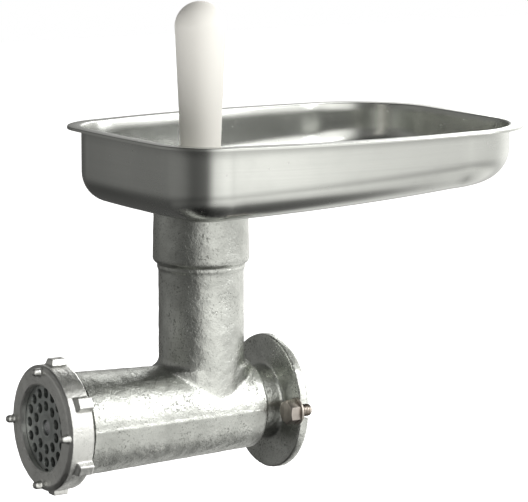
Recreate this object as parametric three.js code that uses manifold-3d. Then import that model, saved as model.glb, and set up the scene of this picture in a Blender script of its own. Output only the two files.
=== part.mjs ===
// Mincing head of an electric meat grinder, the size that takes a 70 mm plate.
// Units are millimetres. X runs along the barrel from the outlet to the drive end, Z is up.
// The origin is on the barrel axis, in the rear face of the mounting flange.

import * as THREE from 'three';
import { mergeVertices } from 'three/addons/utils/BufferGeometryUtils.js';
import { ParametricGeometry } from 'three/addons/geometries/ParametricGeometry.js';
import Module from 'manifold-3d';

// ---- clearances ----
const SEAT_GAP = 0.3; // between faces that rest on each other
const TURN_GAP = 0.35; // between round pieces, one inside the other

// ---- barrel and flange ----
const HEAD_LENGTH = 206.4; // flange's rear face to the ring nut's front face
const SHOULDER_STEP = 1.7; // from the thread's root up to the barrel, just behind the ring nut
const BARREL_REAR_R = 34.5;
const BARREL_END_GAP = 17.2; // from the barrel's big end to the flange
const BORE_R = 30.5;
const RIB_HEIGHT = 1.3;
const RIB_WIDTH = 5;
const RIB_COUNT = 4;
const HUB_R = 28;
const FLANGE_R = 52.9;
const FLANGE_T = 7.7;
const REAR_WALL_T = 33.5; // from the bore's blind end to the flange's rear face
const SEAM_HEIGHT = 0.5;
const SEAM_WIDTH = 1.6;

// ---- neck ----
const NECK_X = -65.5;
const NECK_R = 33;
const NECK_WALL = 6.5;
const NECK_FILLET = 7;
const COLLAR_R = 37.2;
const COLLAR_TOP_R = 36.5;
const COLLAR_BOTTOM_Z = 115;
const COLLAR_EDGE_R = 3.8;
const NECK_TOP_Z = 157;
const SOCKET_WALL = 3.6; // of the widened mouth of the neck, which takes the tray's spigot
const SOCKET_DEPTH = 32;

// ---- ring nut and its thread ----
const RING_WALL = 8.45;
const RING_WIDTH = 21;
const RING_LIP_HOLD = 2.1; // how far the lip reaches over the plate's edge
const RING_LIP_T = 4.5;
const RING_CHAMFER = 2.6;
const LUG_COUNT = 6;
const LUG_HEIGHT = 4.4;
const LUG_WIDTH = 10;
const LUG_SETBACK = 6.4;
const PEG_COUNT = 4;
const PEG_R = 3.1;
const PEG_LENGTH = 7;
const PEG_INSET = 4.6;
const THREAD_PITCH = 4;
const MOUTH_WALL = 2.6; // between the plate's seat and the thread's root
const THREAD_DEPTH = 1.1;
const THREAD_ROOT_W = 1.6;
const THREAD_CREST_W = 0.8;
const THREAD_STEPS = 28; // per turn
const THREAD_TURNS = 1.5;
const THREAD_RUNOUT = 3.4; // plain neck between the ring nut and the barrel's shoulder

// ---- plate, key and knife ----
const PLATE_R = 35;
const PLATE_T = 8;
const PLATE_PROUD = 2.1; // how far the plate stands out of the barrel's mouth
const PLATE_BORE_R = 6;
const HOLE_R = 3.75;
const HOLE_RINGS = [
  { count: 10, circle: 16.5 },
  { count: 16, circle: 26.5 },
];
const KEY_R = 2;
const KEY_STANDS_IN = 2.4;
const KNIFE_T = 11;
const KNIFE_HUB_R = 12.5;
const KNIFE_OVERLAP = 1.75; // of the blades beyond the outermost holes
const BLADE_T = 6;
const BLADE_WIDTH = 10;
const BLADE_COUNT = 4;

// ---- worm, stud and drive ----
const WORM_GAP = 0.7; // between the flights and the bore's ribs
const WORM_CORE_FRONT_R = 15;
const WORM_CORE_REAR_R = 11.5;
const FLIGHT_TURNS = 4.25;
const FLIGHT_STEPS = 16; // per turn
const FLIGHT_ROOT_W = 9;
const FLIGHT_EDGE_W = 3.4;
const PITCH_FALL = 0.32; // how much tighter the flights stand at the outlet
const SHANK_R = 10;
const STUD_THREAD_R = 7;
const STUD_THREAD_L = 20;
const STUD_SQUARE = 12;
const THRUST_WASHER_T = 2;
const THRUST_WASHER_R = 24;
const BUSH_WALL = 3;
const SEAL_WIDTH = 7;
const SEAL_R = 17;
const TANG_ACROSS = 12; // hexagon, across its flats
const TANG_OUT = 14; // beyond the flange's rear face
const TANG_IN = 22;
const PIN_R = 2;

// ---- tray ----
const TRAY_FRONT_X = -142;
const TRAY_REAR_X = 188;
const TRAY_FRONT_HALF_W = 107;
const TRAY_REAR_HALF_W = 131;
const TRAY_FRONT_CORNER_R = 50;
const TRAY_REAR_CORNER_R = 79;
const TRAY_SIDE_BOW = 9;
const TRAY_RIM_Z = 216.8;
const TRAY_DEPTH = 61.7; // at the front end
const TRAY_FLOOR_SLOPE = 0.06; // rise of the floor for each mm towards the rear
const TRAY_SEAT_R = 39.6; // level seat pressed into the floor round the neck
const TRAY_SEAT_BLEND = 16; // over which the seat runs out into the sloping floor
const TRAY_LIP = 11;
const TRAY_EDGE_DROP = 2.2;
const TRAY_SHEET = 1.2;
const TRAY_FOOT_R = 24.7;
const SPIGOT_WALL = 1.5;
const SPIGOT_FLANGE_INSET = 2.1; // inside the seat's edge
const SPIGOT_REACH = 29;

// ---- pusher ----
const PUSHER_TOP_Z = 315.6;
const PUSHER_GAP = 1.1; // all round, in the neck's bore
const PUSHER_FOOT_GAP = 3; // over the worm
const PUSHER_GUARD_R = 37;
const PUSHER_GUARD_T = 5.5;
const GRIP_FOOT_R = 13.9;
const GRIP_HEAD_R = 19.6;
const PUSHER_WALL = 3;
const CAP_T = 4;
const CAP_PLUG = 6;

// ---- clamp screws ----
const SCREW_CIRCLE_R = 48;
const SCREW_R = 4.9;
const SLOT_HALF_W = 5.9;
const SCREW_OUT = 3; // beyond the flange's rear face
const HEX_ACROSS = 17;
const HEX_T = 8.5;
const CLAMP_WASHER_R = 10.4;
const CLAMP_WASHER_T = 2;

// ---- facets ----
const ROUND = 32;
const FINE = 36;
const SMALL = 16;

// ---- places worked out from the sizes above ----
const RING_FRONT_X = -HEAD_LENGTH;
const RING_BACK_X = RING_FRONT_X + RING_WIDTH;
const PLATE_FRONT_X = RING_FRONT_X + RING_LIP_T + SEAT_GAP;
const PLATE_BACK_X = PLATE_FRONT_X + PLATE_T;
const MOUTH_X = PLATE_FRONT_X + PLATE_PROUD;
const KNIFE_FRONT_X = PLATE_BACK_X + SEAT_GAP;
const KNIFE_BACK_X = KNIFE_FRONT_X + KNIFE_T;
const WORM_FRONT_X = KNIFE_BACK_X + SEAT_GAP;
const MOUTH_END_X = KNIFE_BACK_X + 1;
const SHOULDER_X = RING_BACK_X + THREAD_RUNOUT;
const BARREL_END_X = -FLANGE_T - BARREL_END_GAP;
const BORE_END_X = -REAR_WALL_T;
const WORM_BACK_X = BORE_END_X - THRUST_WASHER_T - 2 * SEAT_GAP;
const SHANK_END_X = -2;
const SEAL_FRONT_X = -SEAL_WIDTH - 1.5;
const PLATE_SOCKET_R = PLATE_R + SEAT_GAP;
const THREAD_ROOT_R = PLATE_SOCKET_R + MOUTH_WALL;
const BARREL_FRONT_R = THREAD_ROOT_R + SHOULDER_STEP;
const RING_BORE_R = THREAD_ROOT_R + THREAD_DEPTH + TURN_GAP;
const RING_R = RING_BORE_R + RING_WALL;
const RING_OPENING_R = PLATE_R - RING_LIP_HOLD;
const LUG_R = RING_R + LUG_HEIGHT;
const PEG_CIRCLE_R = RING_R - PEG_INSET;
const KNIFE_SPAN_R = Math.max(...HOLE_RINGS.map(({ circle }) => circle)) + HOLE_R + KNIFE_OVERLAP;
const WORM_R = BORE_R - RIB_HEIGHT - WORM_GAP;
const NECK_BORE_R = NECK_R - NECK_WALL;
const SOCKET_R = NECK_R - SOCKET_WALL;
const PUSHER_SHAFT_R = NECK_BORE_R - PUSHER_GAP;
const PUSHER_FOOT_Z = WORM_R + PUSHER_FOOT_GAP;
const SPIGOT_FLANGE_R = TRAY_SEAT_R - SPIGOT_FLANGE_INSET;
const BUSH_R = SHANK_R + TURN_GAP + BUSH_WALL;
const FLOOR_FRONT_Z = TRAY_RIM_Z - TRAY_DEPTH;
const PAN_FLOOR_Z = NECK_TOP_Z + SEAT_GAP;
const SPIGOT_FLANGE_Z = PAN_FLOOR_Z + TRAY_SHEET + SEAT_GAP;
const SPIGOT_R = SOCKET_R - TURN_GAP;
const GUARD_Z = SPIGOT_FLANGE_Z + TRAY_SHEET + SEAT_GAP;
const GRIP_FOOT_Z = GUARD_Z + PUSHER_GUARD_T;

const wasm = await Module();
wasm.setup();

// ---- finishes ----
const finish = (color, roughness, metalness) => new THREE.MeshStandardMaterial({ color, roughness, metalness });
const TINNED_IRON = finish(0xb9bbb5, 0.38, 0.9);
const TINNED_RING = finish(0xc4c4be, 0.34, 0.9);
const STAINLESS = finish(0xb4b5af, 0.28, 0.95);
const TOOL_STEEL = finish(0x6f736f, 0.35, 0.95);
const BRIGHT_STEEL = finish(0xa9adad, 0.25, 1);
const ZINC_STEEL = finish(0xa49a8c, 0.35, 0.9);
const BRONZE = finish(0xa9793f, 0.4, 0.9);
const NYLON = finish(0xe6e2d4, 0.5, 0);
const NITRILE = finish(0x1b1b1b, 0.7, 0);
const WHITE_PLASTIC = finish(0xece9e2, 0.45, 0);

// ---- shape helpers ----

/** Joins shared vertices and drops triangles that have closed up to nothing. */
function weld(geometry) {
  const bare = geometry.clone();
  bare.deleteAttribute('normal');
  bare.deleteAttribute('uv');
  const merged = mergeVertices(bare, 1e-4);
  const corners = merged.index.array;
  const kept = [];
  for (let i = 0; i < corners.length; i += 3) {
    const [a, b, c] = [corners[i], corners[i + 1], corners[i + 2]];
    if (a !== b && b !== c && c !== a) kept.push(a, b, c);
  }
  merged.setIndex(kept);
  return merged;
}

/** A closed geometry as a solid that can be joined and cut. */
function solid(geometry) {
  const closed = weld(geometry);
  const vertProperties = new Float32Array(closed.attributes.position.array);
  const triVerts = new Uint32Array(closed.index.array);
  return new wasm.Manifold(new wasm.Mesh({ numProp: 3, vertProperties, triVerts }));
}

/** A joined or cut solid as a geometry again. */
function shaped(body) {
  const mesh = body.getMesh();
  const geometry = new THREE.BufferGeometry();
  geometry.setAttribute('position', new THREE.BufferAttribute(mesh.vertProperties, 3));
  geometry.setIndex(new THREE.BufferAttribute(mesh.triVerts, 1));
  geometry.computeVertexNormals();
  return geometry;
}

/** Cuts every one of the tools from a body. */
const cutAll = (body, tools) => tools.reduce((left, tool) => left.subtract(tool), body);

/** Joins all of the bodies. */
const joinAll = (bodies) => bodies.reduce((sum, body) => sum.add(body));

/** A turned shape about X. Each point is [x, radius], and the outline runs with the material on its left. */
function turnedX(points, segments = ROUND) {
  const profile = points.map(([along, radius]) => new THREE.Vector2(radius, along));
  return new THREE.LatheGeometry(profile, segments).rotateZ(-Math.PI / 2);
}

/** A turned shape about Z. Each point is [radius, z], and the outline runs with the material on its left. */
function turnedZ(points, segments = ROUND) {
  const profile = points.map(([radius, up]) => new THREE.Vector2(radius, up));
  return new THREE.LatheGeometry(profile, segments).rotateX(Math.PI / 2);
}

/** A plain rod along X, from one x to another. */
const rodX = (from, to, radius, segments = SMALL) =>
  turnedX([[from, 0], [from, radius], [to, radius], [to, 0]], segments);

/** A plain tube along X. */
const tubeX = (from, to, inner, outer, segments = ROUND) =>
  turnedX([[from, inner], [from, outer], [to, outer], [to, inner], [from, inner]], segments);

/** A box that spans x, y and z ranges. */
function block([x0, x1], [y0, y1], [z0, z1]) {
  const box = new THREE.BoxGeometry(x1 - x0, y1 - y0, z1 - z0);
  return box.translate((x0 + x1) / 2, (y0 + y1) / 2, (z0 + z1) / 2);
}

/** Points of an arc from one angle to another, both in degrees, as [a, b] pairs. */
function arc(centreA, centreB, radius, from, to, steps = 5) {
  return Array.from({ length: steps + 1 }, (_, i) => {
    const angle = THREE.MathUtils.degToRad(from + ((to - from) * i) / steps);
    return [centreA + radius * Math.cos(angle), centreB + radius * Math.sin(angle)];
  });
}

/** A flat outline in the YZ plane, drawn as (y, z), made thick along X from one x to another. */
function plateX(shape, from, to, curveSegments = 12) {
  const slab = new THREE.ExtrudeGeometry(shape, { depth: to - from, bevelEnabled: false, curveSegments });
  // drawn x becomes Y, drawn y becomes Z, and the thickness becomes X
  const toX = new THREE.Matrix4().makeBasis(
    new THREE.Vector3(0, 1, 0),
    new THREE.Vector3(0, 0, 1),
    new THREE.Vector3(1, 0, 0),
  );
  return slab.applyMatrix4(toX).translate(from, 0, 0);
}

/** A regular polygon as a Shape, from its size across the flats. */
function polygonShape(sides, across) {
  const radius = across / 2 / Math.cos(Math.PI / sides);
  const corner = (i) => {
    const angle = (2 * Math.PI * (i + 0.5)) / sides;
    return new THREE.Vector2(radius * Math.cos(angle), radius * Math.sin(angle));
  };
  return new THREE.Shape(Array.from({ length: sides }, (_, i) => corner(i)));
}

/**
 * A ridge wound round the X axis. Each section corner is { along, radius } and is given by section(t),
 * where t runs from 0 to 1 over the length. The ends close to a point. The lead runs towards -X, so a hand of 1
 * winds a right-handed ridge and -1 a left-handed one.
 */
function wound({ turns, stepsPerTurn, start, lead, section, corners, hand }) {
  const steps = Math.round(turns * stepsPerTurn);
  const surface = (v, u, target) => {
    const end = u <= 0 || u >= 1;
    const ring = section(THREE.MathUtils.clamp(u, 0, 1));
    const middle = ring.reduce((sum, p) => sum + p.along, 0) / ring.length;
    const low = Math.min(...ring.map((p) => p.radius));
    const corner = Math.round(v * corners) % corners;
    const { along, radius } = end ? { along: middle, radius: low } : ring[corner];
    const angle = hand * u * turns * 2 * Math.PI;
    target.set(start + lead(u) + along, radius * Math.sin(angle), radius * Math.cos(angle));
  };
  return new ParametricGeometry(surface, corners, steps);
}

/** A geometry turned inside out, if its volume says that its faces point inwards. */
function facingOut(geometry) {
  const closed = weld(geometry);
  const place = closed.attributes.position;
  const corners = closed.index.array;
  const [a, b, c] = [new THREE.Vector3(), new THREE.Vector3(), new THREE.Vector3()];
  let volume = 0;
  for (let i = 0; i < corners.length; i += 3) {
    a.fromBufferAttribute(place, corners[i]);
    b.fromBufferAttribute(place, corners[i + 1]);
    c.fromBufferAttribute(place, corners[i + 2]);
    volume += a.dot(b.cross(c)) / 6;
  }
  if (volume < 0) {
    const flipped = [];
    for (let i = 0; i < corners.length; i += 3) flipped.push(corners[i], corners[i + 2], corners[i + 1]);
    closed.setIndex(flipped);
  }
  return closed;
}

/** A copy of a geometry turned about X by an angle. */
const turnedBy = (geometry, angle) => geometry.clone().rotateX(angle);

/** Angles of a round pattern, starting from a first angle. */
const aroundX = (count, first = 0) => Array.from({ length: count }, (_, i) => first + (2 * Math.PI * i) / count);

// ---- scene graph helpers ----
const model = new THREE.Group();

/** Adds a named piece to a group. */
function piece(group, name, geometry, material) {
  const mesh = new THREE.Mesh(geometry, material);
  mesh.name = name;
  group.add(mesh);
  return mesh;
}

/** Adds an unnamed group at a place. */
function groupAt(parent, x, y, z) {
  const group = new THREE.Group();
  group.position.set(x, y, z);
  parent.add(group);
  return group;
}

// ---- thread, shared by the barrel and the ring nut ----

/** A right-handed thread ridge. It stands out from its root radius by a height, inwards if that is negative. */
function threadRidge(start, turns, rootRadius, height) {
  const bury = -Math.sign(height) * 0.6;
  const section = (t) => {
    const fade = Math.min(1, t * turns * 4, (1 - t) * turns * 4);
    const crest = rootRadius + height * fade;
    return [
      { along: -THREAD_ROOT_W / 2, radius: rootRadius + bury },
      { along: -THREAD_CREST_W / 2, radius: crest },
      { along: THREAD_CREST_W / 2, radius: crest },
      { along: THREAD_ROOT_W / 2, radius: rootRadius + bury },
    ];
  };
  const lead = (u) => -u * turns * THREAD_PITCH;
  return facingOut(wound({ turns, stepsPerTurn: THREAD_STEPS, start, lead, section, corners: 4, hand: 1 }));
}

// ---- head ----

/** Outside of the barrel, the hub and the flange, as one turned shape. */
function barrelOutside() {
  const edge = 2.5;
  return turnedX([
    [MOUTH_X, 0],
    [MOUTH_X, THREAD_ROOT_R - 0.8],
    [MOUTH_X + 0.8, THREAD_ROOT_R],
    [SHOULDER_X, THREAD_ROOT_R],
    [SHOULDER_X, BARREL_FRONT_R - 1],
    [SHOULDER_X + 1, BARREL_FRONT_R],
    [BARREL_END_X - edge, BARREL_REAR_R],
    [BARREL_END_X - edge * 0.3, BARREL_REAR_R - edge * 0.3],
    [BARREL_END_X, BARREL_REAR_R - edge],
    [BARREL_END_X, HUB_R],
    [-FLANGE_T, HUB_R],
    [-FLANGE_T, FLANGE_R - 1.2],
    [-FLANGE_T + 1.2, FLANGE_R],
    [-1, FLANGE_R],
    [0, FLANGE_R - 1],
    [0, 0],
  ], FINE);
}

/** The raised casting seam along both sides of the barrel. */
function barrelSeam() {
  const skin = turnedX([
    [SHOULDER_X + 2, 0],
    [SHOULDER_X + 2, BARREL_FRONT_R + SEAM_HEIGHT],
    [BARREL_END_X - 4, BARREL_REAR_R + SEAM_HEIGHT],
    [BARREL_END_X - 4, 0],
  ], FINE);
  const half = SEAM_WIDTH / 2;
  const slab = block([-HEAD_LENGTH, 0], [-FLANGE_R, FLANGE_R], [-half, half]);
  return solid(skin).intersect(solid(slab));
}

/** Outside of the neck, with its collar. */
function neckOutside() {
  const edge = COLLAR_EDGE_R;
  return turnedZ([
    [0, 0],
    [NECK_R, 0],
    [NECK_R, COLLAR_BOTTOM_Z - 5],
    [NECK_R + 0.9, COLLAR_BOTTOM_Z - 4.2],
    [NECK_R + 0.9, COLLAR_BOTTOM_Z - 2.6],
    [NECK_R + 0.2, COLLAR_BOTTOM_Z],
    ...arc(COLLAR_R - edge, COLLAR_BOTTOM_Z + edge, edge, -80, 0, 4),
    [COLLAR_TOP_R, NECK_TOP_Z - 1],
    [COLLAR_TOP_R - 1, NECK_TOP_Z],
    [0, NECK_TOP_Z],
  ]).translate(NECK_X, 0, 0);
}

/** The fillet where the neck grows out of the barrel: wide along the barrel, nothing at its sides. */
function neckRoot() {
  const meanR = (BARREL_FRONT_R + BARREL_REAR_R) / 2;
  const foot = meanR - 2;
  const flare = arc(NECK_R + NECK_FILLET, foot + NECK_FILLET, NECK_FILLET, 270, 180, 5);
  const root = turnedZ([[0, 0], [NECK_R + NECK_FILLET, 0], ...flare, [0, foot + NECK_FILLET]]);
  const place = root.attributes.position;
  for (let i = 0; i < place.count; i += 1) {
    const radius = Math.hypot(place.getX(i), place.getY(i));
    const narrow = radius > NECK_R - 1 ? (NECK_R - 1) / radius : 1;
    place.setY(i, place.getY(i) * narrow);
  }
  return root.translate(NECK_X, 0, 0);
}

/** Everything that is bored out of the casting. */
function headBores() {
  const barrel = solid(turnedX([
    [MOUTH_X - 1, 0],
    [MOUTH_X - 1, PLATE_SOCKET_R],
    [MOUTH_END_X, PLATE_SOCKET_R],
    [MOUTH_END_X, BORE_R],
    [BORE_END_X, BORE_R],
    [BORE_END_X, 0],
  ], FINE));
  const rib = block(
    [MOUTH_END_X - 1, NECK_X - NECK_R],
    [-RIB_WIDTH / 2, RIB_WIDTH / 2],
    [BORE_R - RIB_HEIGHT, BORE_R + 2],
  );
  const ribs = aroundX(RIB_COUNT, Math.PI / RIB_COUNT).map((angle) => solid(turnedBy(rib, angle)));
  const front = solid(rodX(MOUTH_X - 1, MOUTH_END_X, PLATE_SOCKET_R, FINE));
  const neck = solid(turnedZ([
    [0, 0],
    [NECK_BORE_R, 0],
    [NECK_BORE_R, NECK_TOP_Z - SOCKET_DEPTH],
    [SOCKET_R, NECK_TOP_Z - SOCKET_DEPTH],
    [SOCKET_R, NECK_TOP_Z + 1],
    [0, NECK_TOP_Z + 1],
  ]).translate(NECK_X, 0, 0));
  const bush = solid(rodX(BORE_END_X - 1, 1, BUSH_R + SEAT_GAP, ROUND));
  const seal = solid(rodX(SEAL_FRONT_X - SEAT_GAP, 1, SEAL_R + SEAT_GAP, ROUND));
  return joinAll([cutAll(barrel, ribs), front, neck, bush, seal]);
}

/** One open slot in the flange for a clamp screw, on the +Y side. */
function flangeSlot() {
  const from = -FLANGE_T - 1;
  const round = rodX(from, 1, SLOT_HALF_W).translate(0, SCREW_CIRCLE_R, 0);
  const mouth = block([from, 1], [SCREW_CIRCLE_R, FLANGE_R + 5], [-SLOT_HALF_W, SLOT_HALF_W]);
  return solid(round).add(solid(mouth));
}

/** Where the plate's key pin goes through the barrel wall, at the bottom of the mouth. */
const KEY_X = (MOUTH_X + PLATE_BACK_X) / 2;

/** A short pin along Z below the axis, between two radii. */
const pinDown = (x, radius, inner, outer) =>
  new THREE.CylinderGeometry(radius, radius, outer - inner, 12)
    .rotateX(Math.PI / 2)
    .translate(x, 0, -(inner + outer) / 2);

function headCasting() {
  const outside = joinAll([
    solid(barrelOutside()),
    barrelSeam(),
    solid(neckOutside()),
    solid(neckRoot()),
  ]);
  const slot = flangeSlot();
  const keyHole = solid(pinDown(KEY_X, KEY_R + SEAT_GAP, BORE_R, THREAD_ROOT_R + 4));
  const body = cutAll(outside, [headBores(), slot, slot.rotate([180, 0, 0]), keyHole]);
  const thread = solid(threadRidge(RING_BACK_X - 1.2, THREAD_TURNS, THREAD_ROOT_R, THREAD_DEPTH));
  const clearOfKey = solid(pinDown(KEY_X, KEY_R + SEAT_GAP, BORE_R, THREAD_ROOT_R + 4));
  return shaped(body.add(thread.subtract(clearOfKey)));
}

const head = groupAt(model, 0, 0, 0);
piece(head, 'head_casting', headCasting(), TINNED_IRON);

const bushGeometry = weld(tubeX(BORE_END_X + SEAT_GAP, SEAL_FRONT_X - 2 * SEAT_GAP, SHANK_R + TURN_GAP, BUSH_R));
piece(head, 'rear_bush', bushGeometry, BRONZE);

const washerGeometry = weld(
  tubeX(0, THRUST_WASHER_T, SHANK_R + TURN_GAP, THRUST_WASHER_R),
);
const thrustWasher = piece(head, 'thrust_washer', washerGeometry, NYLON);
thrustWasher.position.x = BORE_END_X - SEAT_GAP - THRUST_WASHER_T;

/** A lip seal: a rubber ring with a lip that thins towards the shank. */
function sealGeometry() {
  const lip = SHANK_R + TURN_GAP;
  const wall = 2.2;
  return weld(turnedX([
    [0, lip + 3],
    [0, SEAL_R],
    [SEAL_WIDTH, SEAL_R],
    [SEAL_WIDTH, SEAL_R - wall],
    [wall, SEAL_R - wall],
    [wall, lip + 2.6],
    [SEAL_WIDTH - 2, lip + 1.2],
    [SEAL_WIDTH - 2, lip],
    [SEAL_WIDTH - 3, lip],
    [0, lip + 3],
  ], 28));
}
const shaftSeal = piece(head, 'shaft_seal', sealGeometry(), NITRILE);
shaftSeal.position.x = SEAL_FRONT_X;

const keyGeometry = weld(pinDown(0, KEY_R, PLATE_SOCKET_R - KEY_STANDS_IN, THREAD_ROOT_R - 0.4));
const plateKey = piece(head, 'plate_key', keyGeometry, BRIGHT_STEEL);
plateKey.position.x = KEY_X;

// ---- plate ----

/** The perforated plate, with a notch for its key and a bore for the worm's spigot. */
function holePlate() {
  const notch = KEY_R + TURN_GAP + 0.25;
  const notchDepth = KEY_STANDS_IN + 1.1;
  const notchAngle = Math.asin(notch / PLATE_R);
  const outline = new THREE.Shape();
  outline.absarc(0, 0, PLATE_R, -Math.PI / 2 + notchAngle, 1.5 * Math.PI - notchAngle, false);
  outline.lineTo(-notch, -PLATE_R + notchDepth);
  outline.lineTo(notch, -PLATE_R + notchDepth);
  const bores = [{ y: 0, z: 0, radius: PLATE_BORE_R }];
  for (const { count, circle } of HOLE_RINGS) {
    for (const angle of aroundX(count, Math.PI / 2)) {
      bores.push({ y: circle * Math.cos(angle), z: circle * Math.sin(angle), radius: HOLE_R });
    }
  }
  for (const { y, z, radius } of bores) {
    const hole = new THREE.Path();
    hole.absarc(y, z, radius, 0, 2 * Math.PI, true);
    outline.holes.push(hole);
  }
  return weld(plateX(outline, 0, PLATE_T, 5));
}
const plate = piece(model, 'hole_plate', holePlate(), TOOL_STEEL);
plate.position.x = PLATE_FRONT_X;

// ---- ring nut ----

/** One lug on the ring nut's outside, at the top, with sloping flanks and a bevelled front. */
function ringLug() {
  const foot = RING_R - 2;
  const flank = new THREE.Shape([
    new THREE.Vector2(-LUG_WIDTH / 2 - 1.5, foot),
    new THREE.Vector2(LUG_WIDTH / 2 + 1.5, foot),
    new THREE.Vector2(LUG_WIDTH / 2 - 1, LUG_R),
    new THREE.Vector2(-LUG_WIDTH / 2 + 1, LUG_R),
  ]);
  const bar = solid(plateX(flank, RING_FRONT_X + LUG_SETBACK, RING_BACK_X));
  const bevel = new THREE.BoxGeometry(10, 40, 10)
    .rotateY(THREE.MathUtils.degToRad(-38))
    .translate(RING_FRONT_X + LUG_SETBACK - 2.6, 0, LUG_R + 2.4);
  return bar.subtract(solid(bevel));
}

/** One rounded peg on the ring nut's front face, at the top. */
function ringPeg() {
  const tip = PEG_R * 0.55;
  return turnedX([
    [-PEG_LENGTH, 0],
    [-PEG_LENGTH + 0.25, PEG_R * 0.45],
    [-PEG_LENGTH + tip, PEG_R * 0.86],
    [0, PEG_R],
    [2, PEG_R],
    [2, 0],
  ], 14).translate(RING_FRONT_X, 0, PEG_CIRCLE_R);
}

function ringNut() {
  const c = RING_CHAMFER;
  const body = solid(turnedX([
    [RING_FRONT_X, RING_OPENING_R + 1],
    [RING_FRONT_X, RING_R - c],
    [RING_FRONT_X + c, RING_R],
    [RING_BACK_X - 1, RING_R - 0.4],
    [RING_BACK_X, RING_R - 1.4],
    [RING_BACK_X, RING_BORE_R],
    [RING_FRONT_X + RING_LIP_T, RING_BORE_R],
    [RING_FRONT_X + RING_LIP_T, RING_OPENING_R],
    [RING_FRONT_X + 1, RING_OPENING_R],
    [RING_FRONT_X, RING_OPENING_R + 1],
  ], FINE));
  const lug = ringLug();
  const degrees = (count, first) => aroundX(count, first).map((a) => THREE.MathUtils.radToDeg(a));
  const lugs = degrees(LUG_COUNT, 0).map((a) => lug.rotate([a, 0, 0]));
  const pegs = degrees(PEG_COUNT, 0).map((a) => solid(ringPeg()).rotate([a, 0, 0]));
  const bore = solid(rodX(RING_FRONT_X + RING_LIP_T, RING_BACK_X + 1, RING_BORE_R, FINE));
  const start = RING_BACK_X - 1.2 - THREAD_PITCH / 2;
  const thread = solid(threadRidge(start, THREAD_TURNS, RING_BORE_R, TURN_GAP - 0.1 - THREAD_DEPTH));
  return shaped(joinAll([body, ...lugs, ...pegs]).subtract(bore).add(thread));
}
piece(model, 'ring_nut', ringNut(), TINNED_RING);

// ---- worm and what turns with it ----
const drive = groupAt(model, 0, 0, 0);

/** Core and shank of the worm, before its flights are added. */
function wormCore() {
  return solid(turnedX([
    [WORM_FRONT_X, 0],
    [WORM_FRONT_X, WORM_CORE_FRONT_R - 1],
    [WORM_FRONT_X + 1, WORM_CORE_FRONT_R],
    [WORM_BACK_X - 8, WORM_CORE_REAR_R],
    [WORM_BACK_X - 5, WORM_CORE_REAR_R + 5],
    [WORM_BACK_X - 3, WORM_CORE_REAR_R + 9],
    [WORM_BACK_X, WORM_CORE_REAR_R + 9],
    [WORM_BACK_X, SHANK_R],
    [SHANK_END_X, SHANK_R],
    [SHANK_END_X, 0],
  ], 24));
}

/** The flights: one start, wound tighter towards the outlet. */
function wormFlights() {
  const rear = WORM_BACK_X - 8;
  const travel = WORM_FRONT_X + 6 - rear;
  const lead = (u) => travel * (u + PITCH_FALL * u * (1 - u));
  const section = (t) => {
    const fade = Math.min(1, t * 9, (1 - t) * 14);
    const edge = THREE.MathUtils.lerp(WORM_CORE_REAR_R, WORM_R, Math.sqrt(fade));
    const root = WORM_CORE_REAR_R - 3;
    return [
      { along: -FLIGHT_ROOT_W / 2, radius: root },
      { along: -FLIGHT_EDGE_W / 2, radius: edge },
      { along: FLIGHT_EDGE_W / 2, radius: edge },
      { along: FLIGHT_ROOT_W / 2, radius: root },
    ];
  };
  const flight = { turns: FLIGHT_TURNS, stepsPerTurn: FLIGHT_STEPS, start: rear, hand: -1 };
  return solid(facingOut(wound({ ...flight, lead, section, corners: 4 })));
}

/** A cross hole or pin along Y, through the worm's shank and the drive tang. */
const crossPin = (radius, halfLength) =>
  new THREE.CylinderGeometry(radius, radius, 2 * halfLength, 12).translate(-TANG_IN / 2 - 2, 0, 0);

function worm() {
  const studHole = solid(rodX(WORM_FRONT_X - 1, WORM_FRONT_X + STUD_THREAD_L + SEAT_GAP, STUD_THREAD_R + TURN_GAP));
  const tangHole = solid(plateX(polygonShape(6, TANG_ACROSS + 2 * SEAT_GAP), -TANG_IN - SEAT_GAP, 1));
  const pinHole = solid(crossPin(PIN_R + SEAT_GAP, SHANK_R + 2));
  return shaped(cutAll(wormCore().add(wormFlights()), [studHole, tangHole, pinHole]));
}
piece(drive, 'worm', worm(), TINNED_IRON);

/** Stud at the worm's front: a thread into the worm, a square that turns the knife, a round spigot in the plate. */
function wormStud() {
  const half = STUD_SQUARE / 2;
  const thread = solid(turnedX([
    [WORM_FRONT_X - 2, 0],
    [WORM_FRONT_X - 2, half - 0.4],
    [WORM_FRONT_X + 0.5, half - 0.4],
    [WORM_FRONT_X + 1.5, STUD_THREAD_R],
    [WORM_FRONT_X + STUD_THREAD_L, STUD_THREAD_R],
    [WORM_FRONT_X + STUD_THREAD_L, 0],
  ], SMALL));
  const square = solid(block([PLATE_BACK_X + 0.3, WORM_FRONT_X - SEAT_GAP], [-half, half], [-half, half]));
  const tip = PLATE_BORE_R - TURN_GAP;
  const spigot = solid(turnedX([
    [PLATE_FRONT_X + 0.4, 0],
    [PLATE_FRONT_X + 0.4, tip - 1],
    [PLATE_FRONT_X + 1.4, tip],
    [PLATE_BACK_X + 1, tip],
    [PLATE_BACK_X + 1, 0],
  ], SMALL));
  return shaped(joinAll([thread, square, spigot]));
}
piece(drive, 'worm_stud', wormStud(), BRIGHT_STEEL);

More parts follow.
